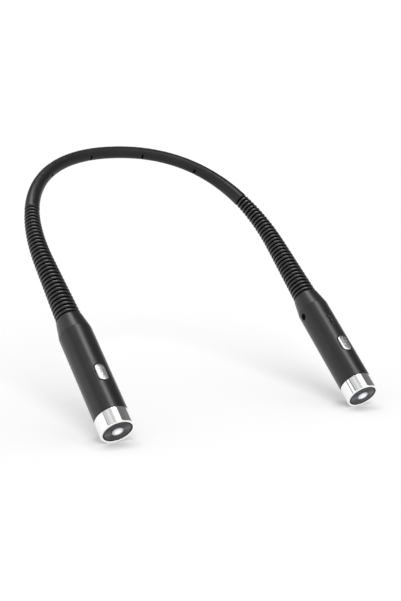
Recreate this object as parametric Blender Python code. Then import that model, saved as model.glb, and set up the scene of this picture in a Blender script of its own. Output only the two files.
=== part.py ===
"""Neck reading light: a rubber neckband, two ribbed bending arms and two lamp heads.

Everything is laid out in the plane of the U, with X across, Y from the lamp faces back to
the neckband and Z square to the plane. The whole is then tilted as it hangs on a neck.
The origin is the middle of the neckband. Round pieces are rings carried along the U's
centreline: an arc is a length along it from the middle, negative to the left.
Run it in Blender 4.5, in metres.
"""

import math
from bisect import bisect_left

import bmesh
import bpy
from mathutils import Matrix, Vector

MM = 0.001

# The U in its own plane
WORN_TILT = math.radians(40.0)
HEAD_SPACING = 165.0 * MM
BEND_DEPTH = 95.0 * MM
BAND_HANDLE = 53.0 * MM
ARM_HANDLE = 61.0 * MM
BAND_HALF_LENGTH = 98.3 * MM
CURVE_STEPS = 400

# Clearances
FIT_GAP = 0.3 * MM
CUT_OVERRUN = 2.0 * MM

# Rubber sleeve: smooth on the neckband, ribbed on the arms
BAND_RADIUS = 3.85 * MM
BAND_END_RADIUS = 4.5 * MM
BAND_FLARE_LENGTH = 45.0 * MM
RIB_COUNT = 31
RIB_PITCH = 2.83 * MM
ARM_START_RADIUS = 4.65 * MM
ARM_END_RADIUS = 7.75 * MM
GROOVE_DEPTH = 0.9 * MM
STATION_SPACING = 8.0 * MM
PLUG_STEP = 1.3 * MM
PLUG_LENGTH = 6.4 * MM

# Flex slits on the neckband's inner side: the outer pair are the flex joints
SLIT_SPACING = 39.4 * MM
SLIT_WIDTH = 0.6 * MM
SLIT_DEPTH = 0.9 * MM

# Joints: each sits in a groove, between cones that leave room for its swing
JOINT_SHARES = (0.16, 0.32, 0.52, 0.68, 0.84)
ARM_CONE = math.radians(9.0)
FLEX_CONE = math.radians(7.5)
JOINT_GAP = 0.3 * MM

# Core that holds the arms' shape, and the cable inside it
CORE_RADIUS = 2.1 * MM
CORE_WALL = 0.85 * MM
CABLE_RADIUS = 0.9 * MM

# Lamp head casing, measured back from the bezel's front rim
BARREL_RADIUS = 10.0 * MM
BARREL_WALL = 1.2 * MM
HEAD_LENGTH = 82.4 * MM
BEZEL_LENGTH = 9.9 * MM
BEZEL_RIM_WIDTH = 1.1 * MM
BEZEL_EDGE = 0.4 * MM
BEZEL_RECESS = 0.8 * MM
BEZEL_SPIGOT_LENGTH = 3.0 * MM
BEZEL_SPIGOT_WALL = 0.8 * MM
COLLAR_LENGTH = 12.9 * MM
COLLAR_LIP = 0.2 * MM
COLLAR_SPIGOT_LENGTH = 7.5 * MM
COLLAR_SPIGOT_WALL = 2.0 * MM
FERRULE_WALL = 1.6 * MM
FERRULE_LENGTH = 4.9 * MM

# Optics
FACE_PLATE_THICKNESS = 1.0 * MM
LENS_RADIUS = 3.6 * MM
LENS_DOME = 0.6 * MM
LENS_FLANGE_WIDTH = 0.9 * MM
LENS_FLANGE_THICKNESS = 0.8 * MM
LENS_BULGE = 1.8 * MM
LENS_MID_SHARE = 0.67
LENS_TIP_SHARE = 0.28
REFLECTOR_DEPTH = 7.2 * MM
REFLECTOR_RIM = 1.0 * MM
REFLECTOR_WALL = 1.1 * MM
LED_SIZE = 3.5 * MM
LED_HEIGHT = 1.0 * MM
LED_CLEARANCE = 0.35 * MM
LED_BOARD_THICKNESS = 1.2 * MM

# Push button, its switch and the board under it
BUTTON_PLACE = 27.5 * MM
BUTTON_LENGTH = 11.2 * MM
BUTTON_WIDTH = 5.6 * MM
BUTTON_PROUD = 0.6 * MM
BUTTON_EDGE = 0.4 * MM
BUTTON_TRAVEL = 0.6 * MM
BUTTON_FLANGE = 0.7 * MM
STEM_RADIUS = 1.6 * MM
STEM_PROUD = 1.0 * MM
STEM_LENGTH = 1.8 * MM
SWITCH_SIZE = 6.0 * MM
SWITCH_HEIGHT = 2.3 * MM
BOARD_WIDTH = 12.0 * MM
BOARD_THICKNESS = 1.0 * MM
CELL_END_ROOM = 2.0 * MM
CELL_CAP_RADIUS = 1.8 * MM
CELL_CAP_HEIGHT = 0.8 * MM
CELL_EDGE = 0.5 * MM

# Charging socket and indicator, on the right head only
SOCKET_PLACE = 8.3 * MM
SOCKET_LENGTH = 7.2 * MM
SOCKET_WIDTH = 2.6 * MM
SOCKET_WALL = 0.3 * MM
SOCKET_SETBACK = 0.5 * MM
SOCKET_DEPTH = 4.4 * MM
TONGUE_INSET = 0.45 * MM
TONGUE_SETBACK = 0.8 * MM
INDICATOR_PLACE = 1.5 * MM
INDICATOR_RADIUS = 0.9 * MM
INDICATOR_SETBACK = 0.2 * MM

# Screw that holds the barrel on the collar
SCREW_PLACE = 3.0 * MM
SCREW_HEAD_RADIUS = 1.45 * MM
SCREW_HEAD_HEIGHT = 0.7 * MM
SCREW_SHANK_RADIUS = 0.9 * MM

# How finely round shapes are cut
SLEEVE_SIDES = 16
CORE_SIDES = 10
CABLE_SIDES = 6
HEAD_SIDES = 24
INNER_SIDES = 16
SMALL_SIDES = 12
STADIUM_STEPS = 6
BALL_STEPS = 3

# Colour, roughness and metallic value of each finish
FINISHES = {
    "sleeve_rubber": ((0.040, 0.041, 0.043), 0.55, 0.0),
    "satin_casing": ((0.043, 0.044, 0.046), 0.42, 0.0),
    "chrome": ((0.86, 0.87, 0.88), 0.06, 1.0),
    "dark_gloss": ((0.030, 0.030, 0.032), 0.12, 0.0),
    "clear_lens": ((0.90, 0.94, 1.00), 0.05, 0.0),
    "bright_reflector": ((0.80, 0.80, 0.82), 0.15, 1.0),
    "steel": ((0.52, 0.52, 0.53), 0.35, 1.0),
    "board_green": ((0.02, 0.16, 0.06), 0.45, 0.0),
    "board_white": ((0.80, 0.80, 0.78), 0.50, 0.0),
    "emitter": ((0.85, 0.72, 0.15), 0.35, 0.0),
    "cell_wrap": ((0.05, 0.22, 0.50), 0.40, 0.0),
    "switch_black": ((0.02, 0.02, 0.02), 0.50, 0.0),
    "cable_jacket": ((0.03, 0.03, 0.03), 0.60, 0.0),
    "indicator_clear": ((0.75, 0.78, 0.80), 0.25, 0.0),
}

# Lengths that follow from the sizes above
HEAD_X = HEAD_SPACING / 2
ARM_END_ARC = BAND_HALF_LENGTH + RIB_COUNT * RIB_PITCH
JOINT_GROOVES = tuple(round(share * RIB_COUNT) for share in JOINT_SHARES)
RIM_ARC = ARM_END_ARC + FIT_GAP
FACE_ARC = RIM_ARC + HEAD_LENGTH
FLEX_ARC = SLIT_SPACING + SLIT_SPACING / 2
SLEEVE_BORE = CORE_RADIUS + FIT_GAP
CORE_BORE = CORE_RADIUS - CORE_WALL
PLUG_RADIUS = ARM_END_RADIUS - GROOVE_DEPTH - PLUG_STEP
PLUG_SOCKET = PLUG_RADIUS + FIT_GAP
COLLAR_REAR_RADIUS = ARM_END_RADIUS + COLLAR_LIP
BARREL_BORE = BARREL_RADIUS - BARREL_WALL
SPIGOT_RADIUS = BARREL_BORE - FIT_GAP
BEZEL_OPENING = BARREL_RADIUS - BEZEL_RIM_WIDTH
BEZEL_BORE = SPIGOT_RADIUS - BEZEL_SPIGOT_WALL
SHELF = BEZEL_RECESS + FACE_PLATE_THICKNESS + FIT_GAP
BEZEL_END = BEZEL_LENGTH + BEZEL_SPIGOT_LENGTH
SHOULDER = HEAD_LENGTH - COLLAR_LENGTH
COLLAR_FRONT = SHOULDER - COLLAR_SPIGOT_LENGTH
PLUG_END = HEAD_LENGTH - PLUG_LENGTH
CHAMBER_BACK = PLUG_END - FIT_GAP
CHAMBER_FRONT = CHAMBER_BACK - FERRULE_LENGTH - 2 * FIT_GAP
FERRULE_BORE = CORE_RADIUS + FIT_GAP
FERRULE_RADIUS = FERRULE_BORE + FERRULE_WALL
OPTIC_RADIUS = BEZEL_BORE - FIT_GAP
REFLECTOR_END = SHELF + REFLECTOR_DEPTH
LED_BOARD_FRONT = REFLECTOR_END + FIT_GAP
LED_BOARD_BACK = LED_BOARD_FRONT + LED_BOARD_THICKNESS
BOARD_FRONT = LED_BOARD_BACK + FIT_GAP
BOARD_BACK = COLLAR_FRONT - FIT_GAP
BUTTON_CENTRE = BOARD_BACK - BUTTON_PLACE
FLANGE_LENGTH = BUTTON_LENGTH + 2 * BUTTON_FLANGE
FLANGE_WIDTH = BUTTON_WIDTH + 2 * BUTTON_FLANGE
FLANGE_TOP = math.sqrt(SPIGOT_RADIUS**2 - (FLANGE_WIDTH / 2) ** 2)
FLANGE_BOTTOM = FLANGE_TOP - BUTTON_FLANGE
STEM_TOP = FLANGE_BOTTOM - FIT_GAP
SWITCH_TOP = STEM_TOP - STEM_PROUD
SWITCH_BOTTOM = SWITCH_TOP - SWITCH_HEIGHT
STEM_WELL_DEPTH = STEM_LENGTH - STEM_PROUD + BUTTON_TRAVEL + FIT_GAP
BOARD_TOP = SWITCH_BOTTOM - FIT_GAP
BOARD_BOTTOM = BOARD_TOP - BOARD_THICKNESS
CELL_TOP = BOARD_BOTTOM - FIT_GAP
CELL_RADIUS = (CELL_TOP + SPIGOT_RADIUS) / 2
CELL_LIFT = CELL_TOP - CELL_RADIUS
INDICATOR_CENTRE = BOARD_BACK - INDICATOR_PLACE
SOCKET_CENTRE = BOARD_BACK - SOCKET_PLACE
SCREW_CENTRE = COLLAR_FRONT + SCREW_PLACE
CABLE_LIFT = (BOARD_TOP + BOARD_BOTTOM) / 2

SIDES = (("left", -1), ("right", 1))


def clear_scene():
    for old in list(bpy.data.objects):
        bpy.data.objects.remove(old, do_unlink=True)


# The centreline

def bezier_point(share):
    """Point and direction of the right half's bend, from the neckband's middle to the straight."""
    ends = (
        Vector((0, 0, 0)),
        Vector((BAND_HANDLE, 0, 0)),
        Vector((HEAD_X, ARM_HANDLE - BEND_DEPTH, 0)),
        Vector((HEAD_X, -BEND_DEPTH, 0)),
    )
    left = 1 - share
    weights = (left**3, 3 * share * left**2, 3 * share**2 * left, share**3)
    point = sum((end * weight for end, weight in zip(ends, weights)), Vector((0, 0, 0)))
    slopes = (left**2, 2 * share * left, share**2)
    steps = (ends[1] - ends[0], ends[2] - ends[1], ends[3] - ends[2])
    along = sum((step * slope for step, slope in zip(steps, slopes)), Vector((0, 0, 0)))
    return point, along.normalized()


def bend_lengths():
    """Length of the bend up to each of its even steps."""
    lengths = [0.0]
    last = bezier_point(0)[0]
    for step in range(1, CURVE_STEPS + 1):
        point = bezier_point(step / CURVE_STEPS)[0]
        lengths.append(lengths[-1] + (point - last).length)
        last = point
    return lengths


BEND_LENGTHS = bend_lengths()


def centreline(arc):
    """Point on the U at a signed arc, and the direction in which arcs grow there."""
    away = abs(arc)
    if away >= BEND_LENGTHS[-1]:
        point = Vector((HEAD_X, -BEND_DEPTH - (away - BEND_LENGTHS[-1]), 0))
        along = Vector((0, -1, 0))
    else:
        after = max(1, bisect_left(BEND_LENGTHS, away))
        before = BEND_LENGTHS[after - 1]
        part = (away - before) / (BEND_LENGTHS[after] - before)
        point, along = bezier_point((after - 1 + part) / CURVE_STEPS)
    if arc < 0:
        point.x = -point.x
        along.y = -along.y
    return point, along


FACE_Y = centreline(FACE_ARC)[0].y


def stations(start, end):
    """Arcs strictly between two arcs, evenly spaced, no further apart than the station spacing."""
    count = max(1, math.ceil(abs(end - start) / STATION_SPACING))
    return [start + (end - start) * step / count for step in range(1, count)]


# Meshes from rings

def ring(arc, radius, sides, lift=0.0):
    """Circle square to the centreline at an arc, raised off the plane by lift."""
    centre, along = centreline(arc)
    across = Vector((along.y, -along.x, 0))
    turns = (2 * math.pi * step / sides for step in range(sides))
    return [
        centre
        + across * (radius * math.cos(turn))
        + Vector((0, 0, lift + radius * math.sin(turn)))
        for turn in turns
    ]


def stadium(sign, back, length, width, lift):
    """Round-ended outline on a head's top side, its length along the head."""
    half = (length - width) / 2
    points = []
    for end in (1, -1):
        for step in range(STADIUM_STEPS + 1):
            turn = math.pi * step / STADIUM_STEPS
            across = end * math.cos(turn) * width / 2
            along = end * (half + math.sin(turn) * width / 2)
            points.append(Vector((sign * HEAD_X + across, FACE_Y + back + along, lift)))
    return points


def skin(rings, hollow=False):
    """Closed body through rings of equal count: the ends are capped, or joined if it is hollow."""
    shape = bmesh.new()
    loops = [[shape.verts.new(point) for point in points] for points in rings]
    if hollow:
        pairs = zip(loops, loops[1:] + loops[:1])
    else:
        pairs = zip(loops, loops[1:])
        shape.faces.new(loops[0])
        shape.faces.new(loops[-1])
    for one, other in pairs:
        for here in range(len(one)):
            after = (here + 1) % len(one)
            shape.faces.new((one[here], one[after], other[after], other[here]))
    bmesh.ops.recalc_face_normals(shape, faces=shape.faces)
    return shape


def block(low, high):
    """Box between two corners."""
    shape = bmesh.new()
    bmesh.ops.create_cube(shape, size=1)
    low, high = Vector(low), Vector(high)
    for vert in shape.verts:
        vert.co = (low + high) / 2 + Vector(a * b for a, b in zip(vert.co, high - low))
    return shape


def rod(start, end, radius):
    """Plain round rod between two points."""
    start, end = Vector(start), Vector(end)
    shape = bmesh.new()
    turn = (end - start).to_track_quat("Z", "Y").to_matrix().to_4x4()
    bmesh.ops.create_cone(
        shape,
        cap_ends=True,
        segments=SMALL_SIDES,
        radius1=radius,
        radius2=radius,
        depth=(end - start).length,
        matrix=Matrix.Translation((start + end) / 2) @ turn,
    )
    return shape


# Objects and their holders

def holder(name, parent, arc=None, point=None):
    """Empty on a joint, which carries what moves with it: X along the arm, Z square to the U."""
    empty = bpy.data.objects.new(name, None)
    empty.empty_display_size = BARREL_RADIUS
    bpy.context.scene.collection.objects.link(empty)
    place = Matrix.Identity(4)
    if arc is not None:
        centre, along = centreline(arc)
        toward_head = along if arc > 0 else -along
        across = Vector((0, 0, 1)).cross(toward_head)
        place = Matrix((toward_head, across, (0, 0, 1))).transposed().to_4x4()
        place.translation = centre
    if point is not None:
        place.translation = Vector(point)
    if parent is None:
        empty.matrix_basis = Matrix.Rotation(WORN_TILT, 4, "X")
    else:
        empty.parent = parent
        empty.matrix_basis = HOLDER_PLACES[parent.name].inverted() @ place
    HOLDER_PLACES[name] = place
    return empty


HOLDER_PLACES = {}


def finish(name, kind):
    """Material of one piece."""
    colour, roughness, metallic = FINISHES[kind]
    material = bpy.data.materials.new(name + "_" + kind)
    material.use_nodes = True
    shader = material.node_tree.nodes["Principled BSDF"]
    shader.inputs["Base Color"].default_value = (*colour, 1)
    shader.inputs["Roughness"].default_value = roughness
    shader.inputs["Metallic"].default_value = metallic
    material.diffuse_color = (*colour, 1)
    return material


def add_object(name, shape, carrier):
    """Object under a holder, from a shape given in the plane of the U."""
    shape.transform(HOLDER_PLACES[carrier.name].inverted())
    mesh = bpy.data.meshes.new(name)
    shape.to_mesh(mesh)
    shape.free()
    obj = bpy.data.objects.new(name, mesh)
    bpy.context.scene.collection.objects.link(obj)
    obj.parent = carrier
    return obj


def piece(name, shape, carrier, kind):
    """One real piece of the light, shaded smooth with its edges kept."""
    obj = add_object(name, shape, carrier)
    obj.data.materials.append(finish(name, kind))
    obj.data.shade_smooth()
    obj.data.set_sharp_from_angle(angle=math.radians(35))
    return obj


def cut(obj, shape, label):
    """Takes a shape out of a piece."""
    cutter = add_object(obj.name + "_" + label, shape, obj.parent)
    cutter.hide_render = True
    cutter.display_type = "WIRE"
    hole = obj.modifiers.new(label, "BOOLEAN")
    hole.operation = "DIFFERENCE"
    hole.solver = "EXACT"
    hole.object = cutter


# The sleeve's outer form

def band_radius(arc):
    """Radius of the smooth neckband: even in the middle, flaring gently towards the arms."""
    flare = 1 - (BAND_HALF_LENGTH - abs(arc)) / BAND_FLARE_LENGTH
    flare = min(1.0, max(0.0, flare))
    return BAND_RADIUS + (BAND_END_RADIUS - BAND_RADIUS) * flare**2


def crest_radius(arc):
    """Radius over the ribs, which grows evenly from the neckband to the head."""
    share = (arc - BAND_HALF_LENGTH) / (RIB_COUNT * RIB_PITCH)
    return ARM_START_RADIUS + (ARM_END_RADIUS - ARM_START_RADIUS) * share


def groove_arc(number):
    return BAND_HALF_LENGTH + number * RIB_PITCH


def groove_point(number):
    arc = groove_arc(number)
    return arc, crest_radius(arc) - GROOVE_DEPTH


def crest_point(number):
    arc = groove_arc(number) + RIB_PITCH / 2
    return arc, crest_radius(arc)


def joint_end(arc, toward, cone, radius):
    """Point of a section's end at a joint: a cone about the joint's middle, plus half the joint's gap."""
    return arc + toward * (JOINT_GAP / 2 + radius * math.tan(cone)), radius


def rib_points(first, last):
    """Crests and grooves strictly between two grooves: two points of unlike radius to a rib."""
    points = [crest_point(first)]
    for number in range(first + 1, last):
        points += [groove_point(number), crest_point(number)]
    return points


def bore_points(start, end, radius):
    """Inner wall, from its far end back to its near end."""
    middle = [(arc, radius) for arc in stations(end[0], start[0])]
    return [end, *middle, start]


def signed_rings(sign, points, sides):
    return [ring(sign * arc, radius, sides) for arc, radius in points]


# Sleeve and core sections

def neckband_sleeve(carrier):
    """Smooth middle of the neckband, between the two flex joints, with a flex slit each side."""
    outer_end = joint_end(FLEX_ARC, -1, FLEX_CONE, band_radius(FLEX_ARC))
    inner_end = joint_end(FLEX_ARC, -1, FLEX_CONE, SLEEVE_BORE)
    outer = [(arc, band_radius(arc)) for arc in stations(-outer_end[0], outer_end[0])]
    inner = [(arc, SLEEVE_BORE) for arc in stations(inner_end[0], -inner_end[0])]
    start, end = (-outer_end[0], outer_end[1]), outer_end
    loop = [start, *outer, end, inner_end, *inner, (-inner_end[0], inner_end[1])]
    rings = signed_rings(1, loop, SLEEVE_SIDES)
    sleeve = piece("neckband_sleeve", skin(rings, hollow=True), carrier, "sleeve_rubber")
    for side, sign in SIDES:
        cut(sleeve, slit_shape(sign * SLIT_SPACING / 2), side + "_slit")


def slit_shape(arc):
    """Thin block across the neckband's inner side."""
    centre, along = centreline(arc)
    inward = Vector((along.y, -along.x, 0))
    depth = band_radius(arc) - SLIT_DEPTH
    shape = block(
        (-SLIT_WIDTH / 2, depth, -BAND_RADIUS - CUT_OVERRUN),
        (SLIT_WIDTH / 2, BAND_RADIUS + CUT_OVERRUN, BAND_RADIUS + CUT_OVERRUN),
    )
    turn = Matrix((along, inward, along.cross(inward))).transposed().to_4x4()
    shape.transform(Matrix.Translation(centre) @ turn)
    bmesh.ops.recalc_face_normals(shape, faces=shape.faces)
    return shape


def flank_sleeve(side, sign, carrier):
    """Neckband from its flex joint to the arm's first joint, with the arm's first ribs."""
    joint = JOINT_GROOVES[0]
    near = joint_end(FLEX_ARC, 1, FLEX_CONE, band_radius(FLEX_ARC))
    near_bore = joint_end(FLEX_ARC, 1, FLEX_CONE, SLEEVE_BORE)
    far = joint_end(groove_arc(joint), -1, ARM_CONE, groove_point(joint)[1])
    far_bore = joint_end(groove_arc(joint), -1, ARM_CONE, SLEEVE_BORE)
    smooth_end = BAND_HALF_LENGTH - RIB_PITCH / 2
    smooth = [(arc, band_radius(arc)) for arc in stations(near[0], smooth_end)]
    smooth.append((smooth_end, BAND_END_RADIUS))
    ribs = [groove_point(0), *rib_points(0, joint)]
    loop = [near, *smooth, *ribs, far, *bore_points(near_bore, far_bore, SLEEVE_BORE)]
    rings = signed_rings(sign, loop, SLEEVE_SIDES)
    piece(side + "_band_sleeve", skin(rings, hollow=True), carrier, "sleeve_rubber")


def arm_sleeve(side, sign, number, carrier):
    """Ribbed section between two of the arm's joints."""
    first, last = JOINT_GROOVES[number - 1], JOINT_GROOVES[number]
    near = joint_end(groove_arc(first), 1, ARM_CONE, groove_point(first)[1])
    near_bore = joint_end(groove_arc(first), 1, ARM_CONE, SLEEVE_BORE)
    far = joint_end(groove_arc(last), -1, ARM_CONE, groove_point(last)[1])
    far_bore = joint_end(groove_arc(last), -1, ARM_CONE, SLEEVE_BORE)
    loop = [near, *rib_points(first, last), far, *bore_points(near_bore, far_bore, SLEEVE_BORE)]
    rings = signed_rings(sign, loop, SLEEVE_SIDES)
    piece(f"{side}_arm_sleeve_{number}", skin(rings, hollow=True), carrier, "sleeve_rubber")


def end_sleeve(side, sign, carrier):
    """Last ribbed section, whose plug sits in the head's collar."""
    first = JOINT_GROOVES[-1]
    near = joint_end(groove_arc(first), 1, ARM_CONE, groove_point(first)[1])
    near_bore = joint_end(groove_arc(first), 1, ARM_CONE, SLEEVE_BORE)
    plug = [(ARM_END_ARC, PLUG_RADIUS), (FACE_ARC - PLUG_END, PLUG_RADIUS)]
    ribs = [*rib_points(first, RIB_COUNT), groove_point(RIB_COUNT)]
    bore = bore_points(near_bore, (FACE_ARC - PLUG_END, SLEEVE_BORE), SLEEVE_BORE)
    rings = signed_rings(sign, [near, *ribs, *plug, *bore], SLEEVE_SIDES)
    piece(f"{side}_arm_sleeve_{len(JOINT_GROOVES)}", skin(rings, hollow=True), carrier, "sleeve_rubber")


def ball_points(arc, toward, radius, widest):
    """Profile of a sphere about a joint's middle, from the widest radius in to the core's bore."""
    start, end = math.acos(widest / radius), math.acos(CORE_BORE / radius)
    turns = [start + (end - start) * step / BALL_STEPS for step in range(BALL_STEPS + 1)]
    return [(arc + toward * radius * math.sin(turn), radius * math.cos(turn)) for turn in turns]


def core_ball(arc, toward):
    return ball_points(arc, toward, CORE_RADIUS, CORE_RADIUS)


def core_cup(arc):
    """Hollow that the next ball turns in, with the fit gap all round it."""
    return ball_points(arc, 1, CORE_RADIUS + FIT_GAP, CORE_RADIUS)


def core_section(name, sign, start, end, carrier):
    """Stretch of the hollow core between two ends, each given from its outer edge to its bore."""
    outer = [(arc, CORE_RADIUS) for arc in stations(start[0][0], end[0][0])]
    inner = [(arc, CORE_BORE) for arc in stations(end[-1][0], start[-1][0])]
    loop = [*outer, *end, *inner, *reversed(start)]
    rings = signed_rings(sign, loop, CORE_SIDES)
    piece(name, skin(rings, hollow=True), carrier, "steel")


def cable(carrier):
    """Two-way cable from one head's board to the other's, through the whole core."""
    end_arc = FACE_ARC - COLLAR_FRONT
    axis_arc = FACE_ARC - SHOULDER
    middle = [(arc, 0.0) for arc in stations(-axis_arc, axis_arc)]
    places = [(-end_arc, CABLE_LIFT), (-axis_arc, 0.0), *middle, (axis_arc, 0.0), (end_arc, CABLE_LIFT)]
    rings = [ring(arc, CABLE_RADIUS, CABLE_SIDES, lift) for arc, lift in places]
    piece("link_cable", skin(rings), carrier, "cable_jacket")


# Head pieces, each given back from the bezel's front rim

def head_rings(sign, loop, sides=HEAD_SIDES, lift=0.0):
    return [ring(sign * (FACE_ARC - back), radius, sides, lift) for back, radius in loop]


def head_point(sign, across, back, lift):
    return sign * HEAD_X + across, FACE_Y + back, lift


def collar(side, sign, carrier):
    """Rear cone that grips the sleeve's plug, with a spigot inside the barrel."""
    loop = (
        (SHOULDER, BARREL_RADIUS),
        (HEAD_LENGTH, COLLAR_REAR_RADIUS),
        (HEAD_LENGTH, PLUG_SOCKET),
        (CHAMBER_BACK, PLUG_SOCKET),
        (CHAMBER_BACK, FERRULE_RADIUS + FIT_GAP),
        (CHAMBER_FRONT, FERRULE_RADIUS + FIT_GAP),
        (CHAMBER_FRONT, SPIGOT_RADIUS - COLLAR_SPIGOT_WALL),
        (COLLAR_FRONT, SPIGOT_RADIUS - COLLAR_SPIGOT_WALL),
        (COLLAR_FRONT, SPIGOT_RADIUS),
        (SHOULDER, SPIGOT_RADIUS),
    )
    body = piece(side + "_collar", skin(head_rings(sign, loop), hollow=True), carrier, "satin_casing")
    start = head_point(sign, -sign * BARREL_RADIUS, SCREW_CENTRE, 0)
    end = head_point(sign, -sign * SCREW_SHANK_RADIUS, SCREW_CENTRE, 0)
    cut(body, rod(start, end, SCREW_SHANK_RADIUS + FIT_GAP), "screw_hole")


def barrel(side, sign, carrier):
    """Tube of the head, cut through for the button, the screw and, on the right, socket and indicator."""
    front, back = BEZEL_LENGTH + FIT_GAP, SHOULDER - FIT_GAP
    loop = ((front, BARREL_RADIUS), (back, BARREL_RADIUS), (back, BARREL_BORE), (front, BARREL_BORE))
    tube = piece(side + "_barrel", skin(head_rings(sign, loop), hollow=True), carrier, "satin_casing")
    low, high = SWITCH_TOP, BARREL_RADIUS + CUT_OVERRUN
    length, width = BUTTON_LENGTH + 2 * FIT_GAP, BUTTON_WIDTH + 2 * FIT_GAP
    outlines = [stadium(sign, BUTTON_CENTRE, length, width, lift) for lift in (low, high)]
    cut(tube, skin(outlines), "button_hole")
    start = head_point(sign, -sign * (BARREL_RADIUS + CUT_OVERRUN), SCREW_CENTRE, 0)
    end = head_point(sign, -sign * (BARREL_BORE - CUT_OVERRUN), SCREW_CENTRE, 0)
    cut(tube, rod(start, end, SCREW_HEAD_RADIUS + FIT_GAP), "screw_seat")
    if side == "right":
        length, width = SOCKET_LENGTH + 2 * FIT_GAP, SOCKET_WIDTH + 2 * FIT_GAP
        outlines = [stadium(sign, SOCKET_CENTRE, length, width, lift) for lift in (low, high)]
        cut(tube, skin(outlines), "socket_hole")
        ends = [head_point(sign, 0, INDICATOR_CENTRE, lift) for lift in (low, high)]
        cut(tube, rod(*ends, INDICATOR_RADIUS + FIT_GAP), "indicator_hole")


def bezel(side, sign, carrier):
    """Polished ring round the face, with a shelf for the face plate and a spigot inside the barrel."""
    loop = (
        (0, BARREL_RADIUS - BEZEL_EDGE),
        (BEZEL_EDGE, BARREL_RADIUS),
        (BEZEL_LENGTH, BARREL_RADIUS),
        (BEZEL_LENGTH, SPIGOT_RADIUS),
        (BEZEL_END, SPIGOT_RADIUS),
        (BEZEL_END, BEZEL_BORE),
        (SHELF, BEZEL_BORE),
        (SHELF, BEZEL_OPENING),
        (0, BEZEL_OPENING),
    )
    piece(side + "_bezel", skin(head_rings(sign, loop), hollow=True), carrier, "chrome")


def face_plate(side, sign, carrier):
    """Dark disc behind the rim, with a hole for the lens."""
    back = BEZEL_RECESS + FACE_PLATE_THICKNESS
    outer, inner = BEZEL_OPENING - FIT_GAP, LENS_RADIUS + FIT_GAP
    loop = ((BEZEL_RECESS, outer), (back, outer), (back, inner), (BEZEL_RECESS, inner))
    piece(side + "_face_plate", skin(head_rings(sign, loop), hollow=True), carrier, "dark_gloss")


def lens(side, sign, carrier):
    """Domed lens with a flange behind the face plate and a bulge into the reflector."""
    flange_back = SHELF + LENS_FLANGE_THICKNESS
    flange_radius = LENS_RADIUS + LENS_FLANGE_WIDTH
    mid, tip = LENS_RADIUS * LENS_MID_SHARE, LENS_RADIUS * LENS_TIP_SHARE
    loop = (
        (BEZEL_RECESS - LENS_DOME, tip),
        (BEZEL_RECESS - LENS_DOME * LENS_MID_SHARE, mid),
        (BEZEL_RECESS, LENS_RADIUS),
        (SHELF, LENS_RADIUS),
        (SHELF, flange_radius),
        (flange_back, flange_radius),
        (flange_back, LENS_RADIUS),
        (flange_back + LENS_BULGE * LENS_MID_SHARE, mid),
        (flange_back + LENS_BULGE, tip),
    )
    piece(side + "_lens", skin(head_rings(sign, loop, INNER_SIDES)), carrier, "clear_lens")


def reflector(side, sign, carrier):
    """Cup between the lamp board and the lens, with a ledge for the lens flange."""
    ledge = SHELF + LENS_FLANGE_THICKNESS + FIT_GAP
    throat = LED_SIZE / math.sqrt(2) + LED_CLEARANCE
    loop = (
        (SHELF, OPTIC_RADIUS),
        (SHELF + REFLECTOR_RIM, OPTIC_RADIUS),
        (REFLECTOR_END, throat + REFLECTOR_WALL),
        (REFLECTOR_END, throat),
        (ledge, LENS_RADIUS + FIT_GAP),
        (ledge, LENS_RADIUS + LENS_FLANGE_WIDTH + FIT_GAP),
        (SHELF, LENS_RADIUS + LENS_FLANGE_WIDTH + FIT_GAP),
    )
    rings = head_rings(sign, loop, INNER_SIDES)
    piece(side + "_reflector", skin(rings, hollow=True), carrier, "bright_reflector")


def lamp_board(side, sign, carrier):
    """Round board and, on its front, the light-emitting chip."""
    loop = ((LED_BOARD_FRONT, OPTIC_RADIUS), (LED_BOARD_BACK, OPTIC_RADIUS))
    piece(side + "_lamp_board", skin(head_rings(sign, loop, INNER_SIDES)), carrier, "board_white")
    half = LED_SIZE / 2
    low = head_point(sign, -half, LED_BOARD_FRONT - FIT_GAP - LED_HEIGHT, -half)
    high = head_point(sign, half, LED_BOARD_FRONT - FIT_GAP, half)
    piece(side + "_lamp_chip", block(low, high), carrier, "emitter")


def control_board(side, sign, carrier):
    low = head_point(sign, -BOARD_WIDTH / 2, BOARD_FRONT, BOARD_BOTTOM)
    high = head_point(sign, BOARD_WIDTH / 2, BOARD_BACK, BOARD_TOP)
    piece(side + "_control_board", block(low, high), carrier, "board_green")


def cell(side, sign, carrier):
    """Rechargeable cell, which fills the room under the board."""
    front = BEZEL_END + CELL_END_ROOM
    back = COLLAR_FRONT - CELL_END_ROOM
    body = back - CELL_CAP_HEIGHT
    loop = (
        (front, CELL_RADIUS - CELL_EDGE),
        (front + CELL_EDGE, CELL_RADIUS),
        (body - CELL_EDGE, CELL_RADIUS),
        (body, CELL_RADIUS - CELL_EDGE),
        (body, CELL_CAP_RADIUS),
        (back, CELL_CAP_RADIUS),
    )
    rings = head_rings(sign, loop, INNER_SIDES, CELL_LIFT)
    piece(side + "_cell", skin(rings), carrier, "cell_wrap")


def switch(side, sign, carrier):
    """Push switch on the board, with a well for its stem."""
    half = SWITCH_SIZE / 2
    low = head_point(sign, -half, BUTTON_CENTRE - half, SWITCH_BOTTOM)
    high = head_point(sign, half, BUTTON_CENTRE + half, SWITCH_TOP)
    body = piece(side + "_switch_body", block(low, high), carrier, "switch_black")
    floor = head_point(sign, 0, BUTTON_CENTRE, SWITCH_TOP - STEM_WELL_DEPTH)
    mouth = head_point(sign, 0, BUTTON_CENTRE, SWITCH_TOP + CUT_OVERRUN)
    cut(body, rod(floor, mouth, STEM_RADIUS + FIT_GAP), "stem_well")


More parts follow.
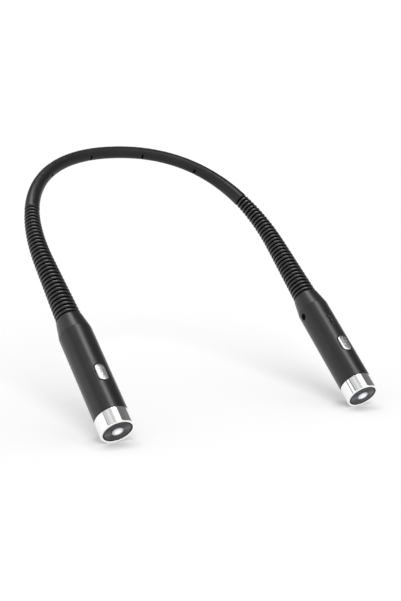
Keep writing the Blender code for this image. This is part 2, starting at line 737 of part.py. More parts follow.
def button(side, sign, carrier):
    """Button cap with the flange that keeps it in the barrel, and the switch stem that it pushes."""
    top = BARREL_RADIUS + BUTTON_PROUD
    levels = (
        (FLANGE_BOTTOM, FLANGE_LENGTH, FLANGE_WIDTH),
        (FLANGE_TOP, FLANGE_LENGTH, FLANGE_WIDTH),
        (FLANGE_TOP, BUTTON_LENGTH, BUTTON_WIDTH),
        (top - BUTTON_EDGE, BUTTON_LENGTH, BUTTON_WIDTH),
        (top, BUTTON_LENGTH - 2 * BUTTON_EDGE, BUTTON_WIDTH - 2 * BUTTON_EDGE),
    )
    rings = [stadium(sign, BUTTON_CENTRE, length, width, lift) for lift, length, width in levels]
    piece(side + "_button", skin(rings), carrier, "chrome")
    foot = head_point(sign, 0, BUTTON_CENTRE, STEM_TOP - STEM_LENGTH)
    crown = head_point(sign, 0, BUTTON_CENTRE, STEM_TOP)
    piece(side + "_switch_stem", rod(foot, crown, STEM_RADIUS), carrier, "switch_black")


def ferrule(side, sign, carrier):
    """Crimped ring that holds the core's end in the collar."""
    front = CHAMBER_FRONT + FIT_GAP
    back = front + FERRULE_LENGTH
    loop = ((front, FERRULE_RADIUS), (back, FERRULE_RADIUS), (back, FERRULE_BORE), (front, FERRULE_BORE))
    rings = head_rings(sign, loop, SMALL_SIDES)
    piece(side + "_ferrule", skin(rings, hollow=True), carrier, "steel")


def screw(side, sign, carrier):
    """Screw in the barrel's inner side, its shank in the collar's spigot."""
    head_under = SPIGOT_RADIUS + FIT_GAP
    head_over = head_under + SCREW_HEAD_HEIGHT
    shank_end = SPIGOT_RADIUS - COLLAR_SPIGOT_WALL
    levels = (
        (shank_end, SCREW_SHANK_RADIUS),
        (head_under, SCREW_SHANK_RADIUS),
        (head_under, SCREW_HEAD_RADIUS),
        (head_over, SCREW_HEAD_RADIUS),
    )
    rings = []
    for out, radius in levels:
        turns = [2 * math.pi * step / SMALL_SIDES for step in range(SMALL_SIDES)]
        rings.append([
            Vector(head_point(
                sign, -sign * out, SCREW_CENTRE + radius * math.cos(turn), radius * math.sin(turn)
            ))
            for turn in turns
        ])
    piece(side + "_housing_screw", skin(rings), carrier, "steel")


def charging_socket(sign, carrier):
    """Metal shell open at the barrel's surface, with a contact tongue inside."""
    top = BARREL_RADIUS - SOCKET_SETBACK
    floor = top - SOCKET_DEPTH
    inset = SOCKET_WALL + TONGUE_INSET
    levels = (
        (SWITCH_BOTTOM, 0),
        (top, 0),
        (top, SOCKET_WALL),
        (floor, SOCKET_WALL),
        (floor, inset),
        (top - TONGUE_SETBACK, inset),
    )
    rings = [
        stadium(sign, SOCKET_CENTRE, SOCKET_LENGTH - 2 * wall, SOCKET_WIDTH - 2 * wall, lift)
        for lift, wall in levels
    ]
    piece("right_charging_socket", skin(rings), carrier, "steel")


def indicator(sign, carrier):
    """Light pipe from the board to the barrel's surface."""
    foot = head_point(sign, 0, INDICATOR_CENTRE, SWITCH_BOTTOM)
    tip = head_point(sign, 0, INDICATOR_CENTRE, BARREL_RADIUS - INDICATOR_SETBACK)
    piece("right_indicator_pipe", rod(foot, tip, INDICATOR_RADIUS), carrier, "indicator_clear")


# Assembly

def build_arm(side, sign, root):
    """Neckband flank, arm sections and head of one side, each holder hung on the one before."""
    carrier = holder(side + "_band_flex", root, sign * FLEX_ARC)
    flank_sleeve(side, sign, carrier)
    joints = [groove_arc(number) for number in JOINT_GROOVES]
    core_section(side + "_band_core", sign, core_cup(FLEX_ARC), core_ball(joints[0], 1), carrier)
    for number, arc in enumerate(joints, 1):
        carrier = holder(f"{side}_arm_joint_{number}", carrier, sign * arc)
        if number < len(joints):
            arm_sleeve(side, sign, number, carrier)
            after = core_ball(joints[number], 1)
        else:
            end_sleeve(side, sign, carrier)
            end_arc = FACE_ARC - CHAMBER_FRONT - FIT_GAP
            after = [(end_arc, CORE_RADIUS), (end_arc, CORE_BORE)]
        core_section(f"{side}_arm_core_{number}", sign, core_cup(arc), after, carrier)
    build_head(side, sign, carrier)


def build_head(side, sign, carrier):
    for make in (
        collar, barrel, bezel, face_plate, lens, reflector, lamp_board,
        control_board, cell, switch, ferrule, screw,
    ):
        make(side, sign, carrier)
    if side == "right":
        charging_socket(sign, carrier)
        indicator(sign, carrier)
    button_place = head_point(sign, 0, BUTTON_CENTRE, BARREL_RADIUS)
    press = holder(side + "_button_press", carrier, sign * RIM_ARC, button_place)
    button(side, sign, press)


def build():
    clear_scene()
    root = holder("neck_light", None)
    neckband_sleeve(root)
    core_section("neckband_core", 1, core_ball(-FLEX_ARC, -1), core_ball(FLEX_ARC, 1), root)
    cable(root)
    for side, sign in SIDES:
        build_arm(side, sign, root)


build()
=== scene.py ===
"""Looks of the neck reading light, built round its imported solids.

Lengths are in metres. Shapes are laid out in the plane of the U, as the solids are: X across,
Y from the lamp faces back to the neckband, Z square to the plane. worn() then tilts them.
A sign is -1 for the left side and 1 for the right. An arc is a length along the centreline from
the neckband's middle to the sign's side, and a negative one lies on the other side. A back is a
length from a bezel's front rim towards the neckband, and a turn is an angle round an arm or a
head, from the side that faces the other arm up over its top.
"""

import math

import bmesh
import bpy
import numpy as np
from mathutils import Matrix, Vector

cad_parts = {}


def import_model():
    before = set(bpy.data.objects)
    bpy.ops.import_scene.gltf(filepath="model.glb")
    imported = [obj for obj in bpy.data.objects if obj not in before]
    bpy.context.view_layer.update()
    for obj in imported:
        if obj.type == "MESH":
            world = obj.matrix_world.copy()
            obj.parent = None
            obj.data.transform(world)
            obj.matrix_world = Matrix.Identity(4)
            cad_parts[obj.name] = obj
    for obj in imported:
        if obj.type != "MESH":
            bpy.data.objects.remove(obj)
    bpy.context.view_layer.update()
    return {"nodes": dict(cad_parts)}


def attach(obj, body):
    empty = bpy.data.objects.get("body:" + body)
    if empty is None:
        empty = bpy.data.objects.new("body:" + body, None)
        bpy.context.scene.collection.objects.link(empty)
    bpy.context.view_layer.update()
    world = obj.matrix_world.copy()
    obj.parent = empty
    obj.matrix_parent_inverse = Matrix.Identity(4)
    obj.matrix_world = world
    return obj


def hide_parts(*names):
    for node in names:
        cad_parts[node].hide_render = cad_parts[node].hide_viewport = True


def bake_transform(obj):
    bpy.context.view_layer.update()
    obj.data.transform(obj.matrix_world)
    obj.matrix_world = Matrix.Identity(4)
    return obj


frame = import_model()

MM = 0.001
SIDES = (("left", -1), ("right", 1))
INNER_SIDE = 0.0
TOP = math.pi / 2

# The U in its own plane
WORN_TILT = math.radians(40.0)
HEAD_X = 82.5 * MM
BEND_DEPTH = 95.0 * MM
BAND_HANDLE = 53.0 * MM
ARM_HANDLE = 61.0 * MM
BAND_HALF_LENGTH = 98.6 * MM

# Sleeve and cable
FIT_GAP = 0.3 * MM
BAND_RADIUS = 3.95 * MM
BAND_END_RADIUS = 4.73 * MM
BAND_FLARE_LENGTH = 68.0 * MM
BAND_SHOULDER = 1.0 * MM
RIB_COUNT = 31
RIB_PITCH = 2.86 * MM
RIB_SQUARENESS = 0.55
ARM_START_RADIUS = 4.7 * MM
ARM_END_RADIUS = 7.75 * MM
GROOVE_FLOOR = 0.9 * MM
GROOVE_SINK = 1.6 * MM
SLEEVE_BORE = 2.4 * MM
PLUG_RADIUS = 5.55 * MM
PLUG_LENGTH = 6.4 * MM
PLUG_EDGE = 0.3 * MM
SLIT_SPACING = 39.4 * MM
SLITS = np.array([0.5, 1.5]) * SLIT_SPACING
SLIT_WIDTH = 1.25 * MM
SLIT_DEPTH = 1.45 * MM
SLIT_TURN = math.radians(16.0)
SLIT_EDGE = 0.03 * MM
LEAST_FACING = 0.1
CABLE_RADIUS = 0.9 * MM
CABLE_LIFT = 2.646 * MM

# Joints, and the grooves at which one piece of skin meets the next
JOINT_GROOVES = (5, 10, 16, 21, 26)
SEAM_GROOVES = (0, 8, 13, 19, 24, 29)
MOST_RIBS_BENT = 2.5
FLEX_ARC = SLITS[1]
FLEX_ZONE = 12.0 * MM
MIDDLE_SEAM = 30.0 * MM

# Head, measured back from the bezel's front rim
BARREL_RADIUS = 10.0 * MM
BARREL_BORE = 8.8 * MM
BARREL_EDGE = 0.12 * MM
HEAD_LENGTH = 81.17 * MM
BEZEL_LENGTH = 9.9 * MM
BEZEL_GAP = 0.38 * MM
BEZEL_OPENING = 8.65 * MM
BEZEL_BORE = 7.7 * MM
BEZEL_SPIGOT_END = 12.9 * MM
SHELF = 2.1 * MM
SHOULDER = 69.5 * MM
COLLAR_GAP = 0.06 * MM
COLLAR_REAR_RADIUS = 7.95 * MM
COLLAR_FRONT = 62.0 * MM
COLLAR_BORE = 6.5 * MM
SPIGOT_RADIUS = 8.5 * MM
PLUG_SOCKET = 5.85 * MM
CHAMBER_BACK = 75.7 * MM
CHAMBER_FRONT = 70.2 * MM
CHAMBER_RADIUS = 4.3 * MM
FACE_SETBACK = 0.3 * MM
FACE_THICKNESS = 1.0 * MM
FACE_GAP = 0.06 * MM
FACE_STEP = 0.18 * MM
FACE_STEP_WIDTH = 0.55 * MM
LENS_RADIUS = 3.6 * MM
LENS_DOME = 0.5 * MM
LENS_FLANGE = 0.8 * MM
LENS_FLANGE_RADIUS = 4.5 * MM
LENS_BULGE = 1.8 * MM

# Button, socket, indicator and screw
BUTTON_CENTRE = 34.2 * MM
BUTTON_LENGTH = 11.2 * MM
BUTTON_WIDTH = 5.6 * MM
BUTTON_TOP = 10.6 * MM
BUTTON_CROWN_RADIUS = 18.0 * MM
BUTTON_EDGE = 0.7 * MM
BUTTON_GAP = 0.45 * MM
BUTTON_FLANGE = 0.7 * MM
FLANGE_TOP = 7.746 * MM
FLANGE_BOTTOM = 7.046 * MM
GRIP_COUNT = 5
GRIP_SPACING = 1.15 * MM
GRIP_LENGTH = 1.3 * MM
GRIP_WIDTH = 0.4 * MM
GRIP_HEIGHT = 0.18 * MM
SOCKET_CENTRE = 53.4 * MM
SOCKET_LENGTH = 7.2 * MM
SOCKET_WIDTH = 2.6 * MM
SOCKET_WALL = 0.3 * MM
SOCKET_TOP = 9.5 * MM
SOCKET_DEPTH = 4.4 * MM
TONGUE_INSET = 0.75 * MM
TONGUE_SETBACK = 0.8 * MM
INDICATOR_CENTRE = 60.2 * MM
INDICATOR_RADIUS = 0.9 * MM
INDICATOR_TOP = 9.85 * MM
INDICATOR_DOME = 0.25 * MM
BOARD_TOP = 3.446 * MM
SCREW_CENTRE = 65.0 * MM
SCREW_HEAD_RADIUS = 1.45 * MM
SCREW_HEAD_TOP = 9.0 * MM
SCREW_HEAD_UNDER = 8.6 * MM
SCREW_SHANK_RADIUS = 0.9 * MM
SCREW_SHANK_END = 6.6 * MM
SCREW_BEVEL = 0.12 * MM
SCREW_FLAT = 0.72 * MM
SCREW_RECESS = 0.45 * MM
SCREW_HOLE = 3.7 * MM
HOLE_GAP = 0.25 * MM
HOLE_EDGE = 0.18 * MM
HOLE_MARGIN = 0.7 * MM

# How finely shapes are cut
CURVE_STEPS = 400
ARM_COLUMNS = 72
RIB_STEPS = 12
BAND_STEP = 1.2 * MM
BORE_THINNING = 4
CREST_STATIONS = 120
CABLE_COLUMNS = 16
CABLE_ROWS = 24
HEAD_COLUMNS = 120
BARREL_ROWS = 96
LENS_ROWS = 12
SCREW_COLUMNS = 48
EDGE_STEPS = 4
STADIUM_STEPS = 20
CROWN_STEPS = 7
DOME_STEPS = 5
GRIP_STEPS = 8
MERGE = 0.5e-6
SHARP_ANGLE = math.radians(35.0)

# A rounded corner takes at most a share of its shorter edge. Points just past its size, and past
# that of a hole's edge, keep the flats beside them flat.
CORNER_SHARE = 0.62
CORNER_REACH = 1.15
HOLE_REACH = 1.6


# The centreline

def bend(share):
    """Cubic curve from the neckband's middle to the arm's straight: four control points weighted
    by the Bernstein polynomials of the share, and its direction from their derivatives."""
    ends = np.array([
        (0, 0), (BAND_HANDLE, 0), (HEAD_X, ARM_HANDLE - BEND_DEPTH), (HEAD_X, -BEND_DEPTH),
    ])
    rest = 1 - share
    weights = np.concatenate([rest**3, 3 * share * rest**2, 3 * share**2 * rest, share**3], -1)
    slopes = np.concatenate([rest**2, 2 * share * rest, share**2], -1)
    return weights @ ends, slopes @ np.diff(ends, axis=0)


BEND_SHARES = np.linspace(0, 1, CURVE_STEPS + 1)
BEND_STEPS = np.linalg.norm(np.diff(bend(BEND_SHARES[:, None])[0], axis=0), axis=1)
BEND_LENGTHS = np.concatenate([[0], np.cumsum(BEND_STEPS)])
BEND_LENGTH = BEND_LENGTHS[-1]
ARM_END_ARC = BAND_HALF_LENGTH + RIB_COUNT * RIB_PITCH
RIM_ARC = ARM_END_ARC + FIT_GAP
FACE_ARC = RIM_ARC + HEAD_LENGTH
FACE_Y = -BEND_DEPTH - (FACE_ARC - BEND_LENGTH)


def centreline(sign, arcs):
    """Points and unit directions at arcs of one side, both as rows of X, Y, Z: the bend, then a
    straight whose length is what the arc has over the bend's."""
    way, reach = np.where(arcs < 0, -1, 1), np.abs(arcs)
    flat, along = bend(np.interp(reach, BEND_LENGTHS, BEND_SHARES)[:, None])
    along /= np.linalg.norm(along, axis=1)[:, None]
    flat[:, 1] -= np.maximum(reach - BEND_LENGTH, 0)
    level = np.zeros(len(arcs))
    points = np.stack([sign * way * flat[:, 0], flat[:, 1], level], -1)
    return points, np.stack([sign * along[:, 0], way * along[:, 1], level], -1)


def worn(points):
    """The plane of the U tilted about X, as the light hangs on a neck."""
    x, y, z = np.moveaxis(np.asarray(points, float), -1, 0)
    cosine, sine = math.cos(WORN_TILT), math.sin(WORN_TILT)
    return np.stack([x, y * cosine - z * sine, y * sine + z * cosine], -1)


# Grids of points

def round_turns(count):
    """Even turns round a full circle."""
    return 2 * np.pi * np.arange(count) / count


def tube_grid(sign, arcs, radii, turns, lift=0.0):
    """Rings square to the centreline: the point at an arc and a turn is the centre, plus the
    radius times the cosine towards the other arm, plus the radius times the sine up."""
    centres, along = centreline(sign, arcs)
    inward = np.stack([sign * along[:, 1], -sign * along[:, 0], along[:, 2]], -1)
    radii = np.broadcast_to(radii, (len(arcs), len(turns)))
    grid = centres[:, None] + inward[:, None] * (radii * np.cos(turns))[..., None]
    grid[..., 2] += lift + radii * np.sin(turns)
    return grid


def turned_grid(sign, profile):
    """A profile of (back, radius) rows carried round a head's axis."""
    turns = round_turns(HEAD_COLUMNS)
    back, radius = np.moveaxis(np.asarray(profile, float)[..., None], 1, 0)
    across = sign * (HEAD_X - radius * np.cos(turns))
    return np.stack(np.broadcast_arrays(across, FACE_Y + back, radius * np.sin(turns)), -1)


def rounded(corners):
    """Closed profile from corners of (back, radius, size), each made a quadratic curve. The curve
    starts and ends the size away along both edges, with one more point outside each end."""
    corners = np.asarray(corners, float)
    points, sizes = corners[:, :2], corners[:, 2:]
    before = np.roll(points, 1, axis=0) - points
    after = np.roll(points, -1, axis=0) - points
    edges = [np.linalg.norm(way, axis=1)[:, None] for way in (before, after)]
    size = np.minimum(sizes, CORNER_SHARE * np.minimum(*edges))
    start, end = before / edges[0] * size, after / edges[1] * size
    share = np.linspace(0, 1, EDGE_STEPS + 1)[:, None, None]
    curve = points + start * (1 - share) ** 2 + end * share**2
    rows = [[points + CORNER_REACH * start], curve, [points + CORNER_REACH * end]]
    return np.swapaxes(np.concatenate(rows), 0, 1).reshape(-1, 2)


def quarter(edge):
    """Rows of an edge rounded by a quarter circle, short of its end: how far each lies in from
    the side where it starts, and how far under the top where it would end."""
    angle = np.linspace(0, np.pi / 2, EDGE_STEPS + 1)[:-1]
    return edge * (1 - np.cos(angle)), edge * (1 - np.sin(angle))


def head_point(sign, turn, back, sideways, out):
    """A point by its distance out from a head's axis at a turn, and sideways square to that."""
    inward = out * math.cos(turn) - sideways * math.sin(turn)
    rise = out * math.sin(turn) + sideways * math.cos(turn)
    across = sign * (HEAD_X - inward)
    return np.stack(np.broadcast_arrays(across, FACE_Y + back, rise), -1)


def stud_grid(sign, centre, length, width, rows):
    """Round-ended body that stands out from a head's top. Each row is an offset from its outline
    and a height. The outline is two half circles, their centres apart by length less width; an
    offset of minus half the width shrinks it to the line between them."""
    half = (length - width) / 2
    turn = np.linspace(0, np.pi, STADIUM_STEPS + 1)
    rings = []
    for offset, height in rows:
        radius = width / 2 + offset
        sideways, along = radius * np.cos(turn), half + radius * np.sin(turn)
        sideways, along = np.append(sideways, -sideways), np.append(along, -along)
        rings.append(head_point(sign, TOP, centre + along, sideways, height))
    return np.stack(rings)


def quads(rows, columns, join_rows):
    """Corner numbers of a grid's faces. Its columns join round, and its rows do if asked to."""
    row = np.arange(rows if join_rows else rows - 1)[:, None]
    column = np.arange(columns)[None]
    next_row, next_column = (row + 1) % rows, (column + 1) % columns
    corners = [
        row * columns + column, next_row * columns + column,
        next_row * columns + next_column, row * columns + next_column,
    ]
    return np.stack([np.broadcast_to(c, (row.size, column.size)) for c in corners], -1)


def placed(name, data):
    """A new object in the scene."""
    obj = bpy.data.objects.new(name, data)
    bpy.context.scene.collection.objects.link(obj)
    return obj


def piece(name, grids, finish):
    """One closed mesh from grids that meet: (points, rows join, kept faces or None for all)."""
    points, faces, count = [], [], 0
    for grid, join_rows, kept in grids:
        rows, columns = grid.shape[:2]
        found = quads(rows, columns, join_rows)
        faces.append((found if kept is None else found[kept]).reshape(-1, 4) + count)
        points.append(grid.reshape(-1, 3))
        count += rows * columns
    mesh = bpy.data.meshes.new(name)
    mesh.from_pydata(worn(np.concatenate(points)).tolist(), [], np.concatenate(faces).tolist())
    shape = bmesh.new()
    shape.from_mesh(mesh)
    bmesh.ops.remove_doubles(shape, verts=shape.verts, dist=MERGE)
    bmesh.ops.recalc_face_normals(shape, faces=shape.faces)
    shape.to_mesh(mesh)
    shape.free()
    mesh.shade_smooth()
    mesh.set_sharp_from_angle(angle=SHARP_ANGLE)
    mesh.materials.append(finish)
    obj = placed(name, mesh)
    return obj


def ended(name, grid, finish):
    """Piece of one grid whose first and last rows shrink to a point or a line."""
    return piece(name, [(grid, False, None)], finish)


def ring(name, sign, profile, finish):
    """Closed profile turned round a head's axis."""
    return piece(name, [(turned_grid(sign, profile), True, None)], finish)


# Shader maths

class Value:
    """A shader number. Each operator adds its Math node, so finishes read as plain sums."""

    def __init__(self, nodes, socket):
        self.nodes, self.socket = nodes, socket

    def maths(self, operation, *values, clamp=False):
        settings = {"operation": operation, "use_clamp": clamp}
        node = self.nodes.node("ShaderNodeMath", settings, dict(enumerate(values)))
        return Value(self.nodes, node.outputs[0])

    def __add__(self, other):
        return self.maths("ADD", self, other)

    def __sub__(self, other):
        return self.maths("SUBTRACT", self, other)

    def __rsub__(self, other):
        return self.maths("SUBTRACT", other, self)

    def __mul__(self, other):
        return self.maths("MULTIPLY", self, other)

    def __truediv__(self, other):
        return self.maths("DIVIDE", self, other)

    def ramp(self, low, high):
        """0 below low, 1 above high and even between them."""
        return self.maths("MULTIPLY", self - low, 1 / (high - low), clamp=True)

    def step(self, edge, soft):
        """0 below an edge and 1 above it, with a soft reach each way."""
        return self.ramp(edge - soft, edge + soft)

    def wave(self):
        return self.maths("SINE", self)

    __radd__ = __add__
    __rmul__ = __mul__


class Nodes:
    """A node tree that is filled by one method: a kind, its settings and its sockets' values."""

    def __init__(self, tree):
        self.tree = tree

    def node(self, kind, settings=None, sockets=None):
        node = self.tree.nodes.new(kind)
        for key, value in (settings or {}).items():
            setattr(node, key, value)
        for key, value in (sockets or {}).items():
            self.put(node.inputs[key], value)
        return node

    def put(self, socket, value):
        """Links what varies to a socket or sets its constant. A colour is red, green and blue."""
        if isinstance(value, Value):
            value = value.socket
        if isinstance(value, bpy.types.NodeSocket):
            self.tree.links.new(value, socket)
        else:
            socket.default_value = (*value, 1) if socket.type == "RGBA" else value

    def vector(self, operation, first, second=(0, 0, 0)):
        """A vector node's outputs: its vector, then its number."""
        sockets = {0: first, 1: tuple(second)}
        return self.node("ShaderNodeVectorMath", {"operation": operation}, sockets).outputs

    def dot(self, first, second):
        return Value(self, self.vector("DOT_PRODUCT", first, second)[1])

    def mix(self, factor, first, second):
        """Colour between two colours."""
        sockets = {0: factor, 6: first, 7: second}
        return self.node("ShaderNodeMix", {"data_type": "RGBA"}, sockets).outputs[2]


class Finish(Nodes):
    """A Principled material read on Object coordinates."""

    def __init__(self, name, colour, roughness, metallic=0.0, fixed=None):
        self.material = bpy.data.materials.new(name)
        self.material.use_nodes = True
        super().__init__(self.material.node_tree)
        self.shader = self.tree.nodes["Principled BSDF"]
        self.place = self.node("ShaderNodeTexCoord").outputs["Object"]
        self.set("Base Color", colour)
        self.set("Roughness", roughness)
        self.set("Metallic", metallic)
        for socket, value in (fixed or {}).items():
            self.set(socket, value)

    def set(self, socket, value):
        self.put(self.shader.inputs[socket], value)

    def noise(self, size, detail=2.0, stretch=None):
        """Even cloud pattern from 0 to 1, with features of about the size. A stretch below 1
        draws them out along its axis."""
        where = self.place
        if stretch:
            sockets = {"Vector": where, "Scale": stretch}
            where = self.node("ShaderNodeMapping", None, sockets).outputs[0]
        sockets = {"Vector": where, "Scale": 1 / size, "Detail": detail}
        return Value(self, self.node("ShaderNodeTexNoise", None, sockets).outputs[0])

    def bump(self, height, depth):
        """Fine relief: the height times a depth in metres."""
        sockets = {"Height": height, "Distance": depth, "Strength": 1.0}
        self.set("Normal", self.node("ShaderNodeBump", None, sockets).outputs[0])

    def from_face(self, sign):
        """The place as measured from the middle of a head's face."""
        return self.vector("SUBTRACT", self.place, worn([sign * HEAD_X, FACE_Y, 0]))[0]

    def from_axis(self, sign):
        """Distance from a head's axis: the length of the cross product with its direction."""
        cross = self.vector("CROSS_PRODUCT", self.from_face(sign), worn([0, 1, 0]))[0]
        return Value(self, self.vector("LENGTH", cross)[1])

    def fans(self, sign):
        """Cosine of twice the angle round a head's face from FAN_TURN: 1 along that line through
        the face and -1 square to it. It comes from the squares and the product of the places
        across and up the face, over their squares' sum."""
        away = self.from_face(sign)
        across, up = self.dot(away, (1, 0, 0)), self.dot(away, worn([0, 0, 1]))
        wide, high = across * across, up * up
        cosine, sine = math.cos(2 * FAN_TURN), math.sin(2 * FAN_TURN)
        return (cosine * (wide - high) + 2 * sine * across * up) / (wide + high)


def grey(level, tint=0.0):
    """Grey, or a slightly bluer one."""
    return (level, level * (1 + tint / 2), level * (1 + tint))


# Finishes of the pieces that show

# A skin's crest mark says how near a point lies to the full radius. Up to GROOVE_MARK it is
# painted black as shade in the grooves and slits. The neckband has BAND_MARK, which rises over
# its last GLOSS_REACH.
GROOVE_MARK = 0.4
BAND_MARK = 0.65
BAND_END_RISE = 0.08
GLOSS_REACH = 28.0 * MM
# How far under BAND_MARK the painted groove shade stops being metallic
METAL_FADE = 0.01

# Lamp face
# Line through the face along which the painted sheen's fans lie
FAN_TURN = math.radians(22.0)
RING_PITCH = 0.26 * MM
# Radii over which the face's edge is painted black, as shade by the bezel
FACE_PAINTED_SHADE = (7.3 * MM, 8.0 * MM)
FACE_DULLS = (7.6 * MM, 8.1 * MM)
LENS_GLOW = (0.8 * MM, 3.1 * MM)
LENS_RIM = (3.15 * MM, 3.45 * MM)
LENS_RIM_SHADE = (0.02, 0.02, 0.022)


def sleeve_rubber(name, specular):
    """Moulded rubber: near black, with a fine grain. Its grooves and slits carry painted shade:
    black, and metallic so that they take no gloss. The smooth neckband is satin and the ribs'
    crests are rubbed glossier."""
    shine = {"Specular IOR Level": specular, "Coat Roughness": 0.12}
    finish = Finish(name, grey(0.008), 0.4, fixed=shine)
    dull, satin, glossy = 0.85, 0.38, 0.20
    settings = {"attribute_type": "GEOMETRY", "attribute_name": "crest"}
    crest = Value(finish, finish.node("ShaderNodeAttribute", settings).outputs["Fac"])
    rubbed = crest.ramp(BAND_MARK, 1.0)
    clouds = finish.mix(finish.noise(9 * MM, 4.0), grey(0.006), grey(0.011, 0.03))
    # Painted shade: black in the grooves and slits, rising to the rubber's colour out of them
    out_of_groove_shade = crest.ramp(GROOVE_MARK, BAND_MARK)
    finish.set("Base Color", finish.mix(out_of_groove_shade, grey(0.0006), clouds))
    smooth = (dull - satin) * crest.ramp(0.0, BAND_MARK) + (satin - glossy) * rubbed
    finish.set("Roughness", dull - smooth + 0.08 * finish.noise(3 * MM, 3.0))
    finish.set("Coat Weight", rubbed)
    # Metallic over the black base paints out the grooves' gloss, as shade
    finish.set("Metallic", 1.0 - crest.ramp(GROOVE_MARK, BAND_MARK - METAL_FADE))
    finish.bump(finish.noise(0.22 * MM), 0.010 * MM)
    return finish.material


def satin_casing():
    """Moulded plastic under a soft satin coat: fine spark-eroded grain and faint smudges."""
    finish = Finish("satin_casing", grey(0.011), 0.29, fixed={"Specular IOR Level": 0.5})
    smudge = finish.noise(14 * MM, 4.0)
    finish.set("Base Color", finish.mix(smudge, grey(0.008), grey(0.013, 0.03)))
    finish.set("Roughness", 0.25 + 0.08 * smudge + 0.03 * finish.noise(1.5 * MM))
    finish.bump(finish.noise(0.2 * MM), 0.006 * MM)
    return finish.material


def chrome(name, level, roughness, grain=0.0):
    """Bright plating with the faintest polishing haze, and a fine grain where it is brushed."""
    finish = Finish(name, grey(level, 0.015), roughness, metallic=1.0)
    haze = finish.noise(5 * MM, 4.0)
    finish.set("Roughness", roughness + 0.05 * haze)
    finish.set("Base Color", finish.mix(haze, grey(level - 0.03), grey(level, 0.015)))
    if grain:
        finish.bump(finish.noise(0.35 * MM), grain)
    return finish.material


def face_gloss(side, sign):
    """Dark glossy disc, turned in fine rings. Its colour carries a painted sheen of two light
    fans with a thin bright middle, and painted shade that turns it black towards its edge."""
    finish = Finish(side + "_face_gloss", grey(0.012), 0.25, fixed={"Specular IOR Level": 0.30})
    radius, fans = finish.from_axis(sign), finish.fans(sign)
    rings = (radius * (2 * math.pi / RING_PITCH)).wave()
    # Painted sheen: two light fans in the colour, over the rings' fine pattern
    wide, thin = fans.ramp(0.1, 1.0), fans.ramp(0.93, 1.0)
    bright = 0.12 * rings.ramp(-1.0, 1.0) + 0.45 * wide + 0.43 * thin
    turned = finish.mix(bright, grey(0.004), grey(0.13))
    # Painted shade: black towards the face's edge
    finish.set("Base Color", finish.mix(radius.ramp(*FACE_PAINTED_SHADE), turned, grey(0.002)))
    haze = 0.08 * finish.noise(2 * MM, 3.0)
    finish.set("Roughness", 0.26 + haze + 0.25 * radius.ramp(*FACE_DULLS))
    finish.bump(rings, 0.009 * MM)
    return finish.material


def lit_lens(side, sign):
    """Clear lens over the lit emitter: its glow is brightest in its middle and greyer towards its
    rim. Its colour carries the same glow painted in, and painted shade at the rim.
    """
    finish = Finish(side + "_lit_lens", (0.5, 0.51, 0.53), 0.10)
    radius = finish.from_axis(sign)
    glow, rim = 1.0 - radius.ramp(*LENS_GLOW), radius.ramp(*LENS_RIM)
    lit = finish.mix(glow, (0.27, 0.28, 0.30), (0.86, 0.88, 0.92))
    finish.set("Emission Color", finish.mix(rim, lit, LENS_RIM_SHADE))
    finish.set("Emission Strength", 0.75)
    # Painted light: the base colour is lighter where the glow is, with painted shade at the rim
    body = finish.mix(glow, (0.24, 0.25, 0.27), (0.50, 0.52, 0.55))
    finish.set("Base Color", finish.mix(rim, body, LENS_RIM_SHADE))
    return finish.material


# Finishes of metal and inner pieces

def steel(name, level, roughness):
    """Drawn steel with fine streaks."""
    finish = Finish(name, grey(level), roughness, metallic=1.0)
    streaks = finish.noise(0.5 * MM, 3.0, stretch=(1.0, 0.15, 0.15))
    finish.set("Roughness", roughness - 0.08 + 0.16 * streaks)
    finish.set("Base Color", finish.mix(streaks, grey(0.8 * level), grey(level)))
    finish.bump(streaks, 0.01 * MM)
    return finish.material


def moulded(name, colour, roughness):
    """Plain moulded plastic with a slight grain."""
    finish = Finish(name, colour, roughness)
    grain = finish.noise(0.4 * MM, 3.0)
    darker = tuple(0.75 * part for part in colour)
    finish.set("Base Color", finish.mix(grain, darker, colour))
    finish.set("Roughness", roughness - 0.05 + 0.1 * grain)
    finish.bump(grain, 0.008 * MM)
    return finish.material


def circuit_board():
    """Green solder mask over copper tracks, which show as raised paler lines."""
    finish = Finish("circuit_board", (0.02, 0.16, 0.06), 0.35)
    sockets = {"Vector": finish.place, "Scale": 1 / (4 * MM)}
    weave = finish.node("ShaderNodeTexBrick", {"offset": 0.5}, sockets)
    tracks = Value(finish, weave.outputs[1])
    finish.set("Base Color", finish.mix(tracks, (0.015, 0.11, 0.045), (0.05, 0.28, 0.10)))
    finish.bump(tracks, 0.03 * MM)
    return finish.material


def emitter_resin():
    """Yellow resin over the lit chip."""
    finish = Finish("emitter_resin", (0.85, 0.72, 0.15), 0.3)
    spots = finish.noise(0.6 * MM)
    finish.set("Base Color", finish.mix(spots, (0.80, 0.62, 0.08), (0.92, 0.80, 0.25)))
    finish.set("Emission Color", (0.9, 0.95, 1.0))
    finish.set("Emission Strength", 1.5)
    return finish.material


# Room: world, floor, light and camera

WHITE = 1.08
FILL = 0.62

